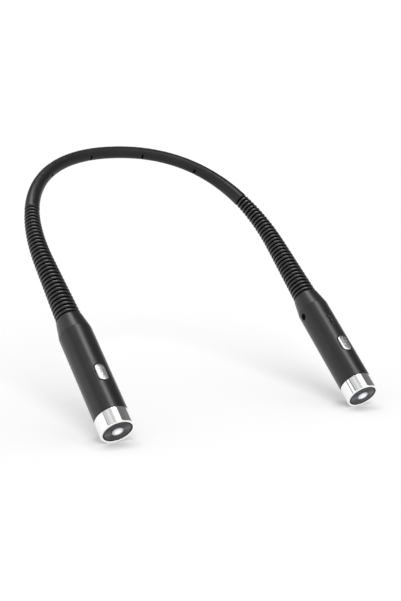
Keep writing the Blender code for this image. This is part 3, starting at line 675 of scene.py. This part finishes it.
# The studio that gloss reflects. A side is a slope across the strip's way, and a foot or rise is
# the upward part of a unit direction. SOFT is how far an edge fades each way.
SOFT = 0.02
STRIP_WAY = Vector((0.067, -0.10, 0.99)).normalized()
STRIP_ALONG = Vector((-0.28, 0.95, 0.1))
STRIP_HALF_WIDTH = 0.12
STRIP_HALF_LENGTH = 0.85
STRIP_SOFT = 0.03
STRIP_WHITE = 5.9
LEAST_AHEAD = 0.05
PANEL_ALONG = Vector((-0.53, 0.845, 0.12))
PALE_SIDE = -0.19
PALE_FOOT = 0.53
PALE_GREY = 0.71
STREAK = 0.11
STREAK_MIDDLE = -0.505
STREAK_SPACING = 0.39
LINE_HEIGHT = 0.06
LINE_DEPTH = 0.65
LINE_ENDS = (0.17, 0.21)
DARK_SIDE = 0.27
DARK_FOOT = (0.0, 0.34)
DARK_RISE = (0.45, 0.85)
DARK_LOW_GREY = 0.20
DARK_GREY = 0.15

FLOOR_LEVEL = -149.6 * MM
FLOOR_SIZE = 60.0
FLOOR_WHITE = 0.80
FLOOR_LIFT = 0.24
GLOSS_LIFT = 0.24
CONTACT = 12.0 * MM
CONTACT_SAMPLES = 12

KEY_WAY = (-0.29, -0.76, 0.58)
KEY_STRENGTH = 1.85
KEY_SPREAD = math.radians(32.0)

CAMERA_PLACE = (-378.7 * MM, -772.4 * MM, 39.9 * MM)
CAMERA_HEADING = math.radians(29.96)
CAMERA_DROP = math.radians(9.28)
CAMERA_LENS = 76.5
SENSOR = 36.0


def ray_kinds(nodes):
    """1 on a glossy ray, and 1 on a ray that shows the background as it is."""
    path = nodes.node("ShaderNodeLightPath").outputs
    seen = Value(nodes, path["Is Camera Ray"]) + Value(nodes, path["Is Transmission Ray"])
    return Value(nodes, path["Is Glossy Ray"]), seen


def studio(nodes):
    """White low down and overhead, a pale streaked panel on the left whose foot ends in a short
    dark line, a dark panel on the right, and between them a bright strip. A way lies on the strip
    where its slopes across and along it are small. The panels' edges run a little aslant of it."""
    way = nodes.node("ShaderNodeTexCoord").outputs["Generated"]
    parts = nodes.node("ShaderNodeSeparateXYZ", None, {0: way}).outputs
    right, back, up = (Value(nodes, part) for part in parts)
    ahead = nodes.dot(way, STRIP_WAY)
    far = ahead.maths("MAXIMUM", ahead, LEAST_AHEAD)

    def slopes(towards):
        along = (towards - STRIP_WAY * towards.dot(STRIP_WAY)).normalized()
        return nodes.dot(way, along.cross(STRIP_WAY)) / far, nodes.dot(way, along) / far

    aside, _ = slopes(PANEL_ALONG)
    dark = aside.step(DARK_SIDE, SOFT) * up.ramp(*DARK_FOOT)
    dark_level = DARK_LOW_GREY + (DARK_GREY - DARK_LOW_GREY) * up.ramp(*DARK_RISE)
    pale = (1.0 - aside.step(PALE_SIDE, SOFT)) * up.step(PALE_FOOT, SOFT)
    streak = (right - STREAK_MIDDLE) * (2 * math.pi / STREAK_SPACING) + math.pi / 2
    pale_level = PALE_GREY + STREAK * streak.wave()
    line_top = PALE_FOOT + LINE_HEIGHT
    line = pale * (1.0 - up.ramp(line_top, line_top + SOFT)) * (1.0 - back.ramp(*LINE_ENDS))
    room = WHITE - (WHITE - dark_level) * dark - (WHITE - pale_level) * pale - LINE_DEPTH * line
    strip = ahead.maths("GREATER_THAN", ahead, LEAST_AHEAD)
    for slope, half in zip(slopes(STRIP_ALONG), (STRIP_HALF_WIDTH, STRIP_HALF_LENGTH)):
        for side in (slope, 0.0 - slope):
            strip = strip * (1.0 - side.step(half, STRIP_SOFT))
    return room + (STRIP_WHITE - room) * strip


def world():
    """White for the camera, an even fill for matt surfaces and the studio for gloss."""
    made = bpy.data.worlds.new("studio")
    made.use_nodes = True
    bpy.context.scene.world = made
    nodes = Nodes(made.node_tree)
    gloss, seen = ray_kinds(nodes)
    plain = seen * WHITE + (1.0 - seen) * FILL
    background = made.node_tree.nodes["Background"].inputs
    nodes.put(background["Color"], (1, 1, 1))
    nodes.put(background["Strength"], gloss * studio(nodes) + (1.0 - gloss) * plain)


def floor():
    """Plain white floor that keeps the shadows. For the camera and gloss it adds what lifts its
    lit parts to white. For the camera the lift fades with the square of the ambient occlusion
    near the object, which paints a contact shadow under it."""
    finish = Finish("floor_white", grey(FLOOR_WHITE), 1.0, fixed={"Specular IOR Level": 0.0})
    gloss, seen = ray_kinds(finish)
    finish.set("Emission Color", (1, 1, 1))
    # Painted contact shadow: the lift fades where ambient occlusion finds the object close by
    settings, sockets = {"samples": CONTACT_SAMPLES}, {"Distance": CONTACT}
    near = finish.node("ShaderNodeAmbientOcclusion", settings, sockets)
    clear = Value(finish, near.outputs["AO"])
    finish.set("Emission Strength", seen * (clear * clear) * FLOOR_LIFT + gloss * GLOSS_LIFT)
    mesh = bpy.data.meshes.new("floor")
    half = FLOOR_SIZE / 2
    square = ((-half, -half), (half, -half), (half, half), (-half, half))
    mesh.from_pydata([(x, y, FLOOR_LEVEL) for x, y in square], [], [(0, 1, 2, 3)])
    mesh.materials.append(finish.material)
    obj = placed("floor", mesh)


def key_light():
    """A wide key from the front left, which casts the soft shadows."""
    light = bpy.data.lights.new("key", "SUN")
    light.energy = KEY_STRENGTH
    light.angle = KEY_SPREAD
    obj = placed("key", light)
    obj.rotation_euler = Vector(KEY_WAY).to_track_quat("Z", "Y").to_euler()
    obj.visible_glossy = False


def camera():
    """Upright camera that looks slightly down, with everything in focus."""
    data = bpy.data.cameras.new("camera")
    data.sensor_width = SENSOR
    data.lens = CAMERA_LENS
    data.dof.use_dof = False
    obj = placed("camera", data)
    obj.location = CAMERA_PLACE
    obj.rotation_euler = (math.pi / 2 - CAMERA_DROP, 0, -CAMERA_HEADING)
    bpy.context.scene.camera = obj


# Sleeve skins, a piece across each joint of the arms and the neckband

def crest_radius(arc):
    """The ribbed part's full radius, which grows evenly towards the head."""
    share = (arc - BAND_HALF_LENGTH) / (RIB_COUNT * RIB_PITCH)
    return ARM_START_RADIUS + (ARM_END_RADIUS - ARM_START_RADIUS) * share


def band_radius(arc):
    """The neckband's radius, which flares with the square of the way to its end."""
    flare = np.clip(1 - (BAND_HALF_LENGTH - np.abs(arc)) / BAND_FLARE_LENGTH, 0, 1)
    return BAND_RADIUS + (BAND_END_RADIUS - BAND_RADIUS) * flare**2


def groove_arc(number):
    """A groove's middle; groove 0 ends the neckband."""
    return BAND_HALF_LENGTH + number * RIB_PITCH


def rib_rows(first, last):
    """Arcs and radii from one groove's middle to another's. Along a rib the arc follows the sine
    of an angle from -90 to 90 degrees, and the height a power of its cosine, which squares it."""
    angle = np.linspace(-np.pi / 2, np.pi / 2, RIB_STEPS + 1)
    crests = groove_arc(np.arange(first, last)) + RIB_PITCH / 2
    reach = (RIB_PITCH - GROOVE_FLOOR) / 2
    arcs = (crests[:, None] + reach * np.sin(angle)).ravel()
    heights = np.tile(np.maximum(np.cos(angle), 0) ** RIB_SQUARENESS, len(crests))
    arcs = np.concatenate([[groove_arc(first)], arcs, [groove_arc(last)]])
    heights = np.concatenate([[0], heights, [0]])
    return arcs, crest_radius(arcs) - GROOVE_SINK * (1 - heights)


def band_rows(start, end):
    """Arcs and radii of the smooth band, with close rows at the edges of each flex slit."""
    arcs = np.arange(start, end, BAND_STEP)
    near = np.array([-1, 1])[:, None] * (SLIT_WIDTH / 2 + np.array([0, SLIT_EDGE]))
    edges = (SLITS[:, None] + near.ravel()).ravel()
    arcs = np.unique(np.concatenate([arcs, edges[(edges > start) & (edges < end)], [end]]))
    return arcs, band_radius(arcs)


def band_end_rows():
    """The band's last arcs and radii: a quarter ellipse, squared as the ribs are, down to the
    first groove's floor."""
    floor_radius = ARM_START_RADIUS - GROOVE_SINK
    shoulder = BAND_HALF_LENGTH - GROOVE_FLOOR / 2 - BAND_SHOULDER
    arcs, radii = band_rows(MIDDLE_SEAM, shoulder)
    angle = np.linspace(0, np.pi / 2, RIB_STEPS // 2 + 1)[1:]
    round_arcs = shoulder + BAND_SHOULDER * np.sin(angle)
    round_radii = floor_radius + (radii[-1] - floor_radius) * np.cos(angle) ** RIB_SQUARENESS
    round_radii[-1] = floor_radius
    return (
        np.concatenate([arcs, round_arcs, [BAND_HALF_LENGTH]]),
        np.concatenate([radii, round_radii, [floor_radius]]),
    )


def plug_rows():
    """The last ribs, then a step down to the plug that the head's collar holds."""
    arcs, radii = rib_rows(SEAM_GROOVES[-1], RIB_COUNT)
    plug_end = RIM_ARC + PLUG_LENGTH
    return (
        np.concatenate([arcs, [ARM_END_ARC, plug_end - PLUG_EDGE, plug_end]]),
        np.concatenate([radii, [PLUG_RADIUS, PLUG_RADIUS, PLUG_RADIUS - PLUG_EDGE]]),
    )


def slit_radii(arcs, radii, turns):
    """Radii by row and column. Inside a slit the inner side is cut to a chord that lies the
    slit's depth under the surface, so its radius is that distance over the cosine of the turn
    from the slit's middle, a little below the inner side."""
    inside = (np.abs(np.abs(arcs[:, None]) - SLITS) < SLIT_WIDTH / 2 + SLIT_EDGE / 2).any(1)
    facing = np.maximum(np.cos(turns + SLIT_TURN), LEAST_FACING)
    cut = inside[:, None] & (facing > LEAST_FACING)
    chord = np.where(cut, (radii[:, None] - SLIT_DEPTH) / facing, np.inf)
    return np.minimum(radii[:, None], chord)


def skin(name, sign, rows, finish):
    """Sleeve wall: the outer rows out and the bore's rows back, joined into one loop."""
    arcs, radii = rows
    turns = round_turns(ARM_COLUMNS)
    outer = tube_grid(sign, arcs, slit_radii(arcs, radii, turns), turns)
    bore_arcs = np.linspace(arcs[-1], arcs[0], len(arcs) // BORE_THINNING)
    grid = np.concatenate([outer, tube_grid(sign, bore_arcs, SLEEVE_BORE, turns)])
    obj = piece(name, [(grid, True, None)], finish)
    mark_crests(obj, sign, arcs)
    return obj


def mark_crests(obj, sign, arcs):
    """How near each point lies to the full radius round it: 0 in a groove, 1 on a rib's crest and
    less on the neckband. The distance is taken to the nearest of the centreline's points."""
    points = np.empty(3 * len(obj.data.vertices))
    obj.data.vertices.foreach_get("co", points)
    points = points.reshape(-1, 3)
    steps = np.linspace(arcs[0], arcs[-1], CREST_STATIONS)
    centres = worn(centreline(sign, steps)[0])
    away = np.linalg.norm(points[:, None] - centres, axis=2)
    nearest = away.argmin(1)
    place = np.abs(steps)[nearest]
    full = np.where(place < BAND_HALF_LENGTH, band_radius(place), crest_radius(place))
    level = np.clip(1 - (full - away.min(1)) / GROOVE_SINK, 0, 1)
    near_ribs = np.clip(1 - (BAND_HALF_LENGTH - place) / GLOSS_REACH, 0, 1)
    on_band = place < BAND_HALF_LENGTH - GROOVE_FLOOR
    level = np.where(on_band, level * (BAND_MARK + BAND_END_RISE * near_ribs), level)
    mark = obj.data.attributes.new("crest", "FLOAT", "POINT")
    mark.data.foreach_set("value", level)


def cord(name, sign, arcs, lifts, finish):
    """Round cable of constant radius, closed at both ends."""
    arcs = np.concatenate([arcs[:1], arcs, arcs[-1:]])
    lifts = np.concatenate([lifts[:1], lifts, lifts[-1:]])
    radii = np.full(len(arcs), CABLE_RADIUS)
    radii[[0, -1]] = 0
    grid = tube_grid(sign, arcs, radii[:, None], round_turns(CABLE_COLUMNS), lifts[:, None])
    return ended(name, grid, finish)


def across_joint(obj, sign, arc, reach):
    """Bakes a piece's placement into its mesh, without bending it. The centreline points a reach
    each side of the joint are worked out but not used.
    """
    points = worn(centreline(sign, np.array([arc - reach, arc + reach]))[0])
    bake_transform(obj)


def middle(rubber, jacket):
    """The neckband's middle, which no joint bends."""
    arcs, _ = band_rows(0, MIDDLE_SEAM)
    arcs = np.concatenate([-arcs[:0:-1], arcs])
    sleeve = skin("neckband_skin", 1, (arcs, band_radius(arcs)), rubber)
    lead = cord("neckband_cable", 1, arcs, np.zeros_like(arcs), jacket)
    for obj, node in ((sleeve, "neckband_sleeve"), (lead, "link_cable")):
        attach(obj, "neckband")
        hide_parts(node)


def arm(side, sign, rubber, band_rubber, jacket):
    """One side's sleeve and cable: a piece across each joint, and the last one on the head."""
    numbers = range(1, len(JOINT_GROOVES) + 1)
    nodes = [f"{side}_band_sleeve", *(f"{side}_arm_sleeve_{n}" for n in numbers)]
    arcs, radii = band_end_rows()
    flex = skin(f"{side}_flex_skin", sign, (arcs, radii), band_rubber)
    lead = cord(f"{side}_flex_cable", sign, arcs, np.zeros_like(arcs), jacket)
    for obj, replaced in ((flex, ("neckband_sleeve", nodes[0])), (lead, ("link_cable",))):
        across_joint(obj, sign, FLEX_ARC, FLEX_ZONE)
        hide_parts(*replaced)
    for number, groove in enumerate(JOINT_GROOVES):
        first, last = SEAM_GROOVES[number:number + 2]
        reach = min(groove - first, last - groove, MOST_RIBS_BENT) * RIB_PITCH
        rows = rib_rows(first, last)
        sleeve = skin(f"{side}_arm_skin_{number + 1}", sign, rows, rubber)
        arcs = np.linspace(groove_arc(first), groove_arc(last), CABLE_ROWS)
        lead = cord(f"{side}_arm_cable_{number + 1}", sign, arcs, np.zeros_like(arcs), jacket)
        for obj, replaced in ((sleeve, nodes[number:number + 2]), (lead, ["link_cable"])):
            across_joint(obj, sign, groove_arc(groove), reach)
            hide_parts(*replaced)
    sleeve = skin(f"{side}_plug_skin", sign, plug_rows(), rubber)
    arcs = np.array([groove_arc(SEAM_GROOVES[-1]), FACE_ARC - SHOULDER, FACE_ARC - COLLAR_FRONT])
    lead = cord(f"{side}_head_cable", sign, arcs, np.array([0, 0, CABLE_LIFT]), jacket)
    for obj, replaced in ((sleeve, nodes[-1]), (lead, "link_cable")):
        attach(obj, f"{side}_head")
        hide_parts(replaced)


# Head shells

def holes(side):
    """Centre, turn, length and width of what stands in each hole, and the gap left round it."""
    found = [
        (BUTTON_CENTRE, TOP, BUTTON_LENGTH, BUTTON_WIDTH, BUTTON_GAP),
        (SCREW_CENTRE, INNER_SIDE, SCREW_HOLE, SCREW_HOLE, HOLE_GAP),
    ]
    if side == "right":
        wide = 2 * INDICATOR_RADIUS
        found.append((SOCKET_CENTRE, TOP, SOCKET_LENGTH, SOCKET_WIDTH, HOLE_GAP))
        found.append((INDICATOR_CENTRE, TOP, wide, wide, HOLE_GAP))
    return found


def barrel(side, sign, finish):
    """Tube with a window cut round each hole. A window is a block of cells taken out of both
    walls, closed again by rings from its rim to the hole's round-ended outline."""
    start, end = BEZEL_LENGTH + BEZEL_GAP, SHOULDER - COLLAR_GAP
    backs = np.linspace(start, end, BARREL_ROWS + 1)
    turns = round_turns(HEAD_COLUMNS)
    inset, drop = quarter(BARREL_EDGE)
    front = np.stack([start + inset, BARREL_RADIUS - drop], -1)
    rear = np.stack([end - inset, BARREL_RADIUS - drop], -1)[::-1]
    outer = np.stack([backs, 0 * backs + BARREL_RADIUS], -1)
    outer[[0, -1], 0] = start + BARREL_EDGE, end - BARREL_EDGE
    inner = np.stack([backs, 0 * backs + BARREL_BORE], -1)[::-1]
    grid = turned_grid(sign, np.concatenate([front, outer, rear, inner]))
    kept = np.ones(grid.shape[:2], bool)
    first_outer, last_inner = len(front), len(grid) - 1
    grids = [(grid, True, kept)]
    step = backs[1] - backs[0]
    for centre, turn, length, width, gap in holes(side):
        length, width = length + 2 * gap, width + 2 * gap
        low = int((centre - length / 2 - HOLE_MARGIN - start) / step)
        high = math.ceil((centre + length / 2 + HOLE_MARGIN - start) / step)
        half = math.ceil(math.asin((width / 2 + HOLE_MARGIN) / BARREL_RADIUS) / turns[1])
        left, right = round(turn / turns[1]) - half, round(turn / turns[1]) + half
        across, along = np.arange(left, right), np.arange(low, high)
        kept[first_outer + low:first_outer + high, across % HEAD_COLUMNS] = False
        kept[last_inner - high:last_inner - low, across % HEAD_COLUMNS] = False
        columns = np.concatenate([across, 0 * along + right, across[::-1] + 1, 0 * along + left])
        rows = np.concatenate([0 * across + low, along, 0 * across + high, along[::-1] + 1])
        columns %= HEAD_COLUMNS
        rim = backs[rows] - centre, BARREL_RADIUS * np.sin(turns[columns] - turn)
        rings = hole_rings(sign, turn, centre, rim, length, width)
        outer_rim, inner_rim = grid[first_outer + rows, columns], grid[last_inner - rows, columns]
        grids.append((np.stack([outer_rim, *rings, inner_rim]), False, None))
    return piece(f"{side}_barrel_shell", grids, finish)


def hole_rings(sign, turn, centre, rim, length, width):
    """Rings of a round-ended hole. Each rim point goes to the nearest point of the hole's middle
    line, and the ring lies half the width plus an offset out from there: a quarter circle
    over the edge, then straight down to the bore."""
    away, aside = rim
    half = (length - width) / 2
    spine = np.clip(away, -half, half)
    reach = np.hypot(away - spine, aside)
    way_back, way_side = (away - spine) / reach, aside / reach
    under, wall = HOLE_REACH * HOLE_EDGE, BARREL_RADIUS - BARREL_BORE
    depths, offsets = quarter(HOLE_EDGE)
    rows = [(under, 0), *zip(offsets, depths), (0, HOLE_EDGE), (0, under), (0, wall)]
    rings = []
    for offset, depth in rows:
        ring_reach = width / 2 + offset
        sideways = way_side * ring_reach
        out = np.sqrt((BARREL_RADIUS - depth) ** 2 - sideways**2)
        rings.append(head_point(sign, turn, centre + spine + way_back * ring_reach, sideways, out))
    return rings


def collar(side, sign, finish):
    """Cone that ends the barrel, with the spigot inside the barrel and the arm's socket."""
    corners = [
        (COLLAR_FRONT, SPIGOT_RADIUS, 0.2 * MM), (SHOULDER, SPIGOT_RADIUS, 0.05 * MM),
        (SHOULDER, BARREL_RADIUS, 0.12 * MM), (HEAD_LENGTH, COLLAR_REAR_RADIUS, 1.3 * MM),
        (HEAD_LENGTH, PLUG_SOCKET, 0.2 * MM), (CHAMBER_BACK, PLUG_SOCKET, 0.1 * MM),
        (CHAMBER_BACK, CHAMBER_RADIUS, 0.1 * MM), (CHAMBER_FRONT, CHAMBER_RADIUS, 0.1 * MM),
        (CHAMBER_FRONT, COLLAR_BORE, 0.1 * MM), (COLLAR_FRONT, COLLAR_BORE, 0.1 * MM),
    ]
    return ring(f"{side}_collar_cone", sign, rounded(corners), finish)


def bezel(side, sign, finish):
    """Bright ring round the lamp face, with the spigot that holds it in the barrel."""
    corners = [
        (0, BARREL_RADIUS, 0.55 * MM), (BEZEL_LENGTH, BARREL_RADIUS, 0.12 * MM),
        (BEZEL_LENGTH, SPIGOT_RADIUS, 0.1 * MM), (BEZEL_SPIGOT_END, SPIGOT_RADIUS, 0.2 * MM),
        (BEZEL_SPIGOT_END, BEZEL_BORE, 0.2 * MM), (SHELF, BEZEL_BORE, 0.1 * MM),
        (SHELF, BEZEL_OPENING, 0.1 * MM), (0, BEZEL_OPENING, 0.3 * MM),
    ]
    return ring(f"{side}_bezel_ring", sign, rounded(corners), finish)


def face_disc(side, sign, finish):
    """Disc round the lens, with its edge set back by a step."""
    front, back = FACE_SETBACK, FACE_SETBACK + FACE_THICKNESS
    outer, inner = BEZEL_OPENING - FACE_GAP, LENS_RADIUS + FACE_GAP
    corners = [
        (front, inner, 0.12 * MM), (front, outer - FACE_STEP_WIDTH, 0.12 * MM),
        (front + FACE_STEP, outer - FACE_STEP_WIDTH, 0.1 * MM),
        (front + FACE_STEP, outer, 0.1 * MM), (back, outer, 0.1 * MM), (back, inner, 0.1 * MM),
    ]
    return ring(f"{side}_face_disc", sign, rounded(corners), finish)


def lens(side, sign, finish):
    """Domed lens on a flange. Its front stands out of the disc by a dome that falls with the
    radius squared, and its back bulges in the same way."""
    share = np.linspace(0, 1, LENS_ROWS)
    flange_back = SHELF + LENS_FLANGE
    front = np.stack([FACE_SETBACK - LENS_DOME * (1 - share**2), LENS_RADIUS * share], -1)
    behind = np.stack([flange_back + LENS_BULGE * (1 - share**2), LENS_RADIUS * share], -1)
    flange = [(SHELF, LENS_RADIUS), (SHELF, LENS_FLANGE_RADIUS), (flange_back, LENS_FLANGE_RADIUS)]
    grid = turned_grid(sign, np.concatenate([front, flange, behind[::-1]]))
    return ended(f"{side}_lens_dome", grid, finish)


def button(side, sign, finish):
    """Round-ended cap, crowned as a circle arc from its middle line to its edge, and the flange
    that keeps it in. Small bars across its middle give a finger hold."""
    reach = BUTTON_WIDTH / 2
    fall = np.linspace(reach - BUTTON_EDGE, 0, CROWN_STEPS + 1)
    crown = BUTTON_TOP - (BUTTON_CROWN_RADIUS - np.sqrt(BUTTON_CROWN_RADIUS**2 - fall**2))
    inset, drop = quarter(BUTTON_EDGE)
    rows = [
        (-reach, FLANGE_BOTTOM), (BUTTON_FLANGE, FLANGE_BOTTOM), (BUTTON_FLANGE, FLANGE_TOP),
        (0, FLANGE_TOP), (0, FLANGE_TOP + BUTTON_EDGE),
        *zip(-inset, crown[0] - drop), *zip(fall - reach, crown),
    ]
    grid = stud_grid(sign, BUTTON_CENTRE, BUTTON_LENGTH, BUTTON_WIDTH, rows)
    cap = ended(f"{side}_button_top", grid, finish)
    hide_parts(f"{side}_button")
    places = (np.arange(GRIP_COUNT) - (GRIP_COUNT - 1) / 2) * GRIP_SPACING
    bars = [(grip_grid(sign, BUTTON_CENTRE + place), False, None) for place in places]
    grips = piece(f"{side}_button_grips", bars, finish)
    for obj in (cap, grips):
        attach(obj, f"{side}_button_cap")


def grip_grid(sign, centre):
    """One bar: half an ellipse over its length and its width, laid across the button's crown."""
    angle = np.linspace(0, np.pi, GRIP_STEPS + 1)[:, None]
    turn = round_turns(GRIP_STEPS * 2)
    back = GRIP_WIDTH / 2 * np.sin(angle) * np.cos(turn)
    sideways = GRIP_LENGTH / 2 * np.sin(angle) * np.sin(turn)
    crown = np.sqrt(BUTTON_CROWN_RADIUS**2 - sideways**2) - BUTTON_CROWN_RADIUS
    height = BUTTON_TOP + crown + GRIP_HEIGHT * np.cos(angle)
    return head_point(sign, TOP, centre + back, sideways, height)


def screw(side, sign, finish):
    """Sunk screw with a six-sided recess: inside the recess a ring's radius is the flat's
    distance over the cosine of the turn from that flat's middle."""
    turns = round_turns(SCREW_COLUMNS)
    flat = (turns + math.pi / 6) % (math.pi / 3) - math.pi / 6
    six = SCREW_FLAT / np.cos(flat)
    recess_floor = SCREW_HEAD_TOP - SCREW_RECESS
    rows = [
        (0, SCREW_SHANK_END), (SCREW_SHANK_RADIUS, SCREW_SHANK_END),
        (SCREW_SHANK_RADIUS, SCREW_HEAD_UNDER), (SCREW_HEAD_RADIUS, SCREW_HEAD_UNDER),
        (SCREW_HEAD_RADIUS, SCREW_HEAD_TOP - SCREW_BEVEL),
        (SCREW_HEAD_RADIUS - SCREW_BEVEL, SCREW_HEAD_TOP),
        (six, SCREW_HEAD_TOP), (six, recess_floor), (0, recess_floor),
    ]
    rings = []
    for radius, out in rows:
        back, sideways = SCREW_CENTRE + radius * np.cos(turns), radius * np.sin(turns)
        rings.append(head_point(sign, INNER_SIDE, back, sideways, out))
    return ended(f"{side}_screw_head", np.stack(rings), finish)


def charging_socket(finish, tongue_finish):
    """Folded metal mouth and, inside it, the contact tongue."""
    reach = SOCKET_WIDTH / 2
    floor_height = SOCKET_TOP - SOCKET_DEPTH
    lip = SOCKET_WALL / 3
    rows = [
        (-reach, BOARD_TOP), (0, BOARD_TOP), (0, SOCKET_TOP - lip), (-lip, SOCKET_TOP),
        (-2 * lip, SOCKET_TOP), (-SOCKET_WALL, SOCKET_TOP - lip),
        (-SOCKET_WALL, floor_height), (-reach, floor_height),
    ]
    grid = stud_grid(1, SOCKET_CENTRE, SOCKET_LENGTH, SOCKET_WIDTH, rows)
    shell = ended("right_socket_mouth", grid, finish)
    length, width = SOCKET_LENGTH - 2 * TONGUE_INSET, SOCKET_WIDTH - 2 * TONGUE_INSET
    tip = SOCKET_TOP - TONGUE_SETBACK
    rows = [
        (-width / 2, floor_height), (0, floor_height), (0, tip - lip), (-lip, tip),
        (-width / 2, tip),
    ]
    grid = stud_grid(1, SOCKET_CENTRE, length, width, rows)
    tongue = ended("right_socket_tongue", grid, tongue_finish)
    for obj in (shell, tongue):
        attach(obj, "right_head")
        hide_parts("right_charging_socket")


def indicator(finish):
    """Round light pipe with a low dome."""
    reach = INDICATOR_RADIUS
    angle = np.linspace(0, np.pi / 2, DOME_STEPS + 1)
    heights = INDICATOR_TOP - INDICATOR_DOME * (1 - np.sin(angle))
    dome = zip(-reach * (1 - np.cos(angle)), heights)
    rows = [(-reach, BOARD_TOP), (0, BOARD_TOP), *dome]
    grid = stud_grid(1, INDICATOR_CENTRE, 2 * reach, 2 * reach, rows)
    pipe = ended("right_indicator_dome", grid, finish)
    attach(pipe, "right_head")
    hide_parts("right_indicator_pipe")


def heads(casing, bezel_chrome, button_chrome, dark_steel):
    """The shells that both heads have, and their buttons."""
    for side, sign in SIDES:
        parts = (
            (barrel(side, sign, casing), "barrel"),
            (collar(side, sign, casing), "collar"),
            (bezel(side, sign, bezel_chrome), "bezel"),
            (face_disc(side, sign, face_gloss(side, sign)), "face_plate"),
            (lens(side, sign, lit_lens(side, sign)), "lens"),
            (screw(side, sign, dark_steel), "housing_screw"),
        )
        for obj, node in parts:
            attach(obj, f"{side}_head")
            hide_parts(f"{side}_{node}")
        button(side, sign, button_chrome)


def hidden_pieces(finishes):
    """Inner solids keep their own shape and get the finish of the word in their name."""
    for name, obj in frame["nodes"].items():
        for word, finish in finishes.items():
            if word in name:
                for slot in obj.material_slots:
                    slot.material = finish


def build():
    """The room, the skins, the heads and the finishes of what they hide."""
    rubber, band_rubber = sleeve_rubber("sleeve_rubber", 0.22), sleeve_rubber("band_rubber", 0.28)
    casing = satin_casing()
    jacket = moulded("cable_jacket", (0.03, 0.03, 0.035), 0.5)
    chassis = moulded("black_moulding", (0.02, 0.02, 0.022), 0.45)
    dark_steel = steel("black_steel", 0.012, 0.6)
    bright = steel("drawn_steel", 0.62, 0.38)
    bezel_chrome = chrome("bezel_chrome", 0.97, 0.075)
    button_chrome = chrome("button_chrome", 0.80, 0.24, grain=0.02 * MM)
    camera()
    world()
    floor()
    key_light()
    middle(band_rubber, jacket)
    for side, sign in SIDES:
        arm(side, sign, rubber, band_rubber, jacket)
    heads(casing, bezel_chrome, button_chrome, dark_steel)
    charging_socket(steel("socket_steel", 0.30, 0.4), chassis)
    indicator(moulded("indicator_smoke", (0.004, 0.004, 0.004), 0.5))
    hidden_pieces({
        "_core": bright,
        "ferrule": bright,
        "reflector": chrome("reflector_bright", 0.90, 0.12),
        "lamp_board": moulded("white_board", (0.75, 0.76, 0.74), 0.4),
        "lamp_chip": emitter_resin(),
        "control_board": circuit_board(),
        "cell": moulded("cell_wrap", (0.05, 0.16, 0.38), 0.4),
        "switch_body": chassis,
        "switch_stem": moulded("stem_moulding", (0.55, 0.54, 0.50), 0.5),
    })


build()
bpy.context.scene.view_settings.view_transform = "Standard"
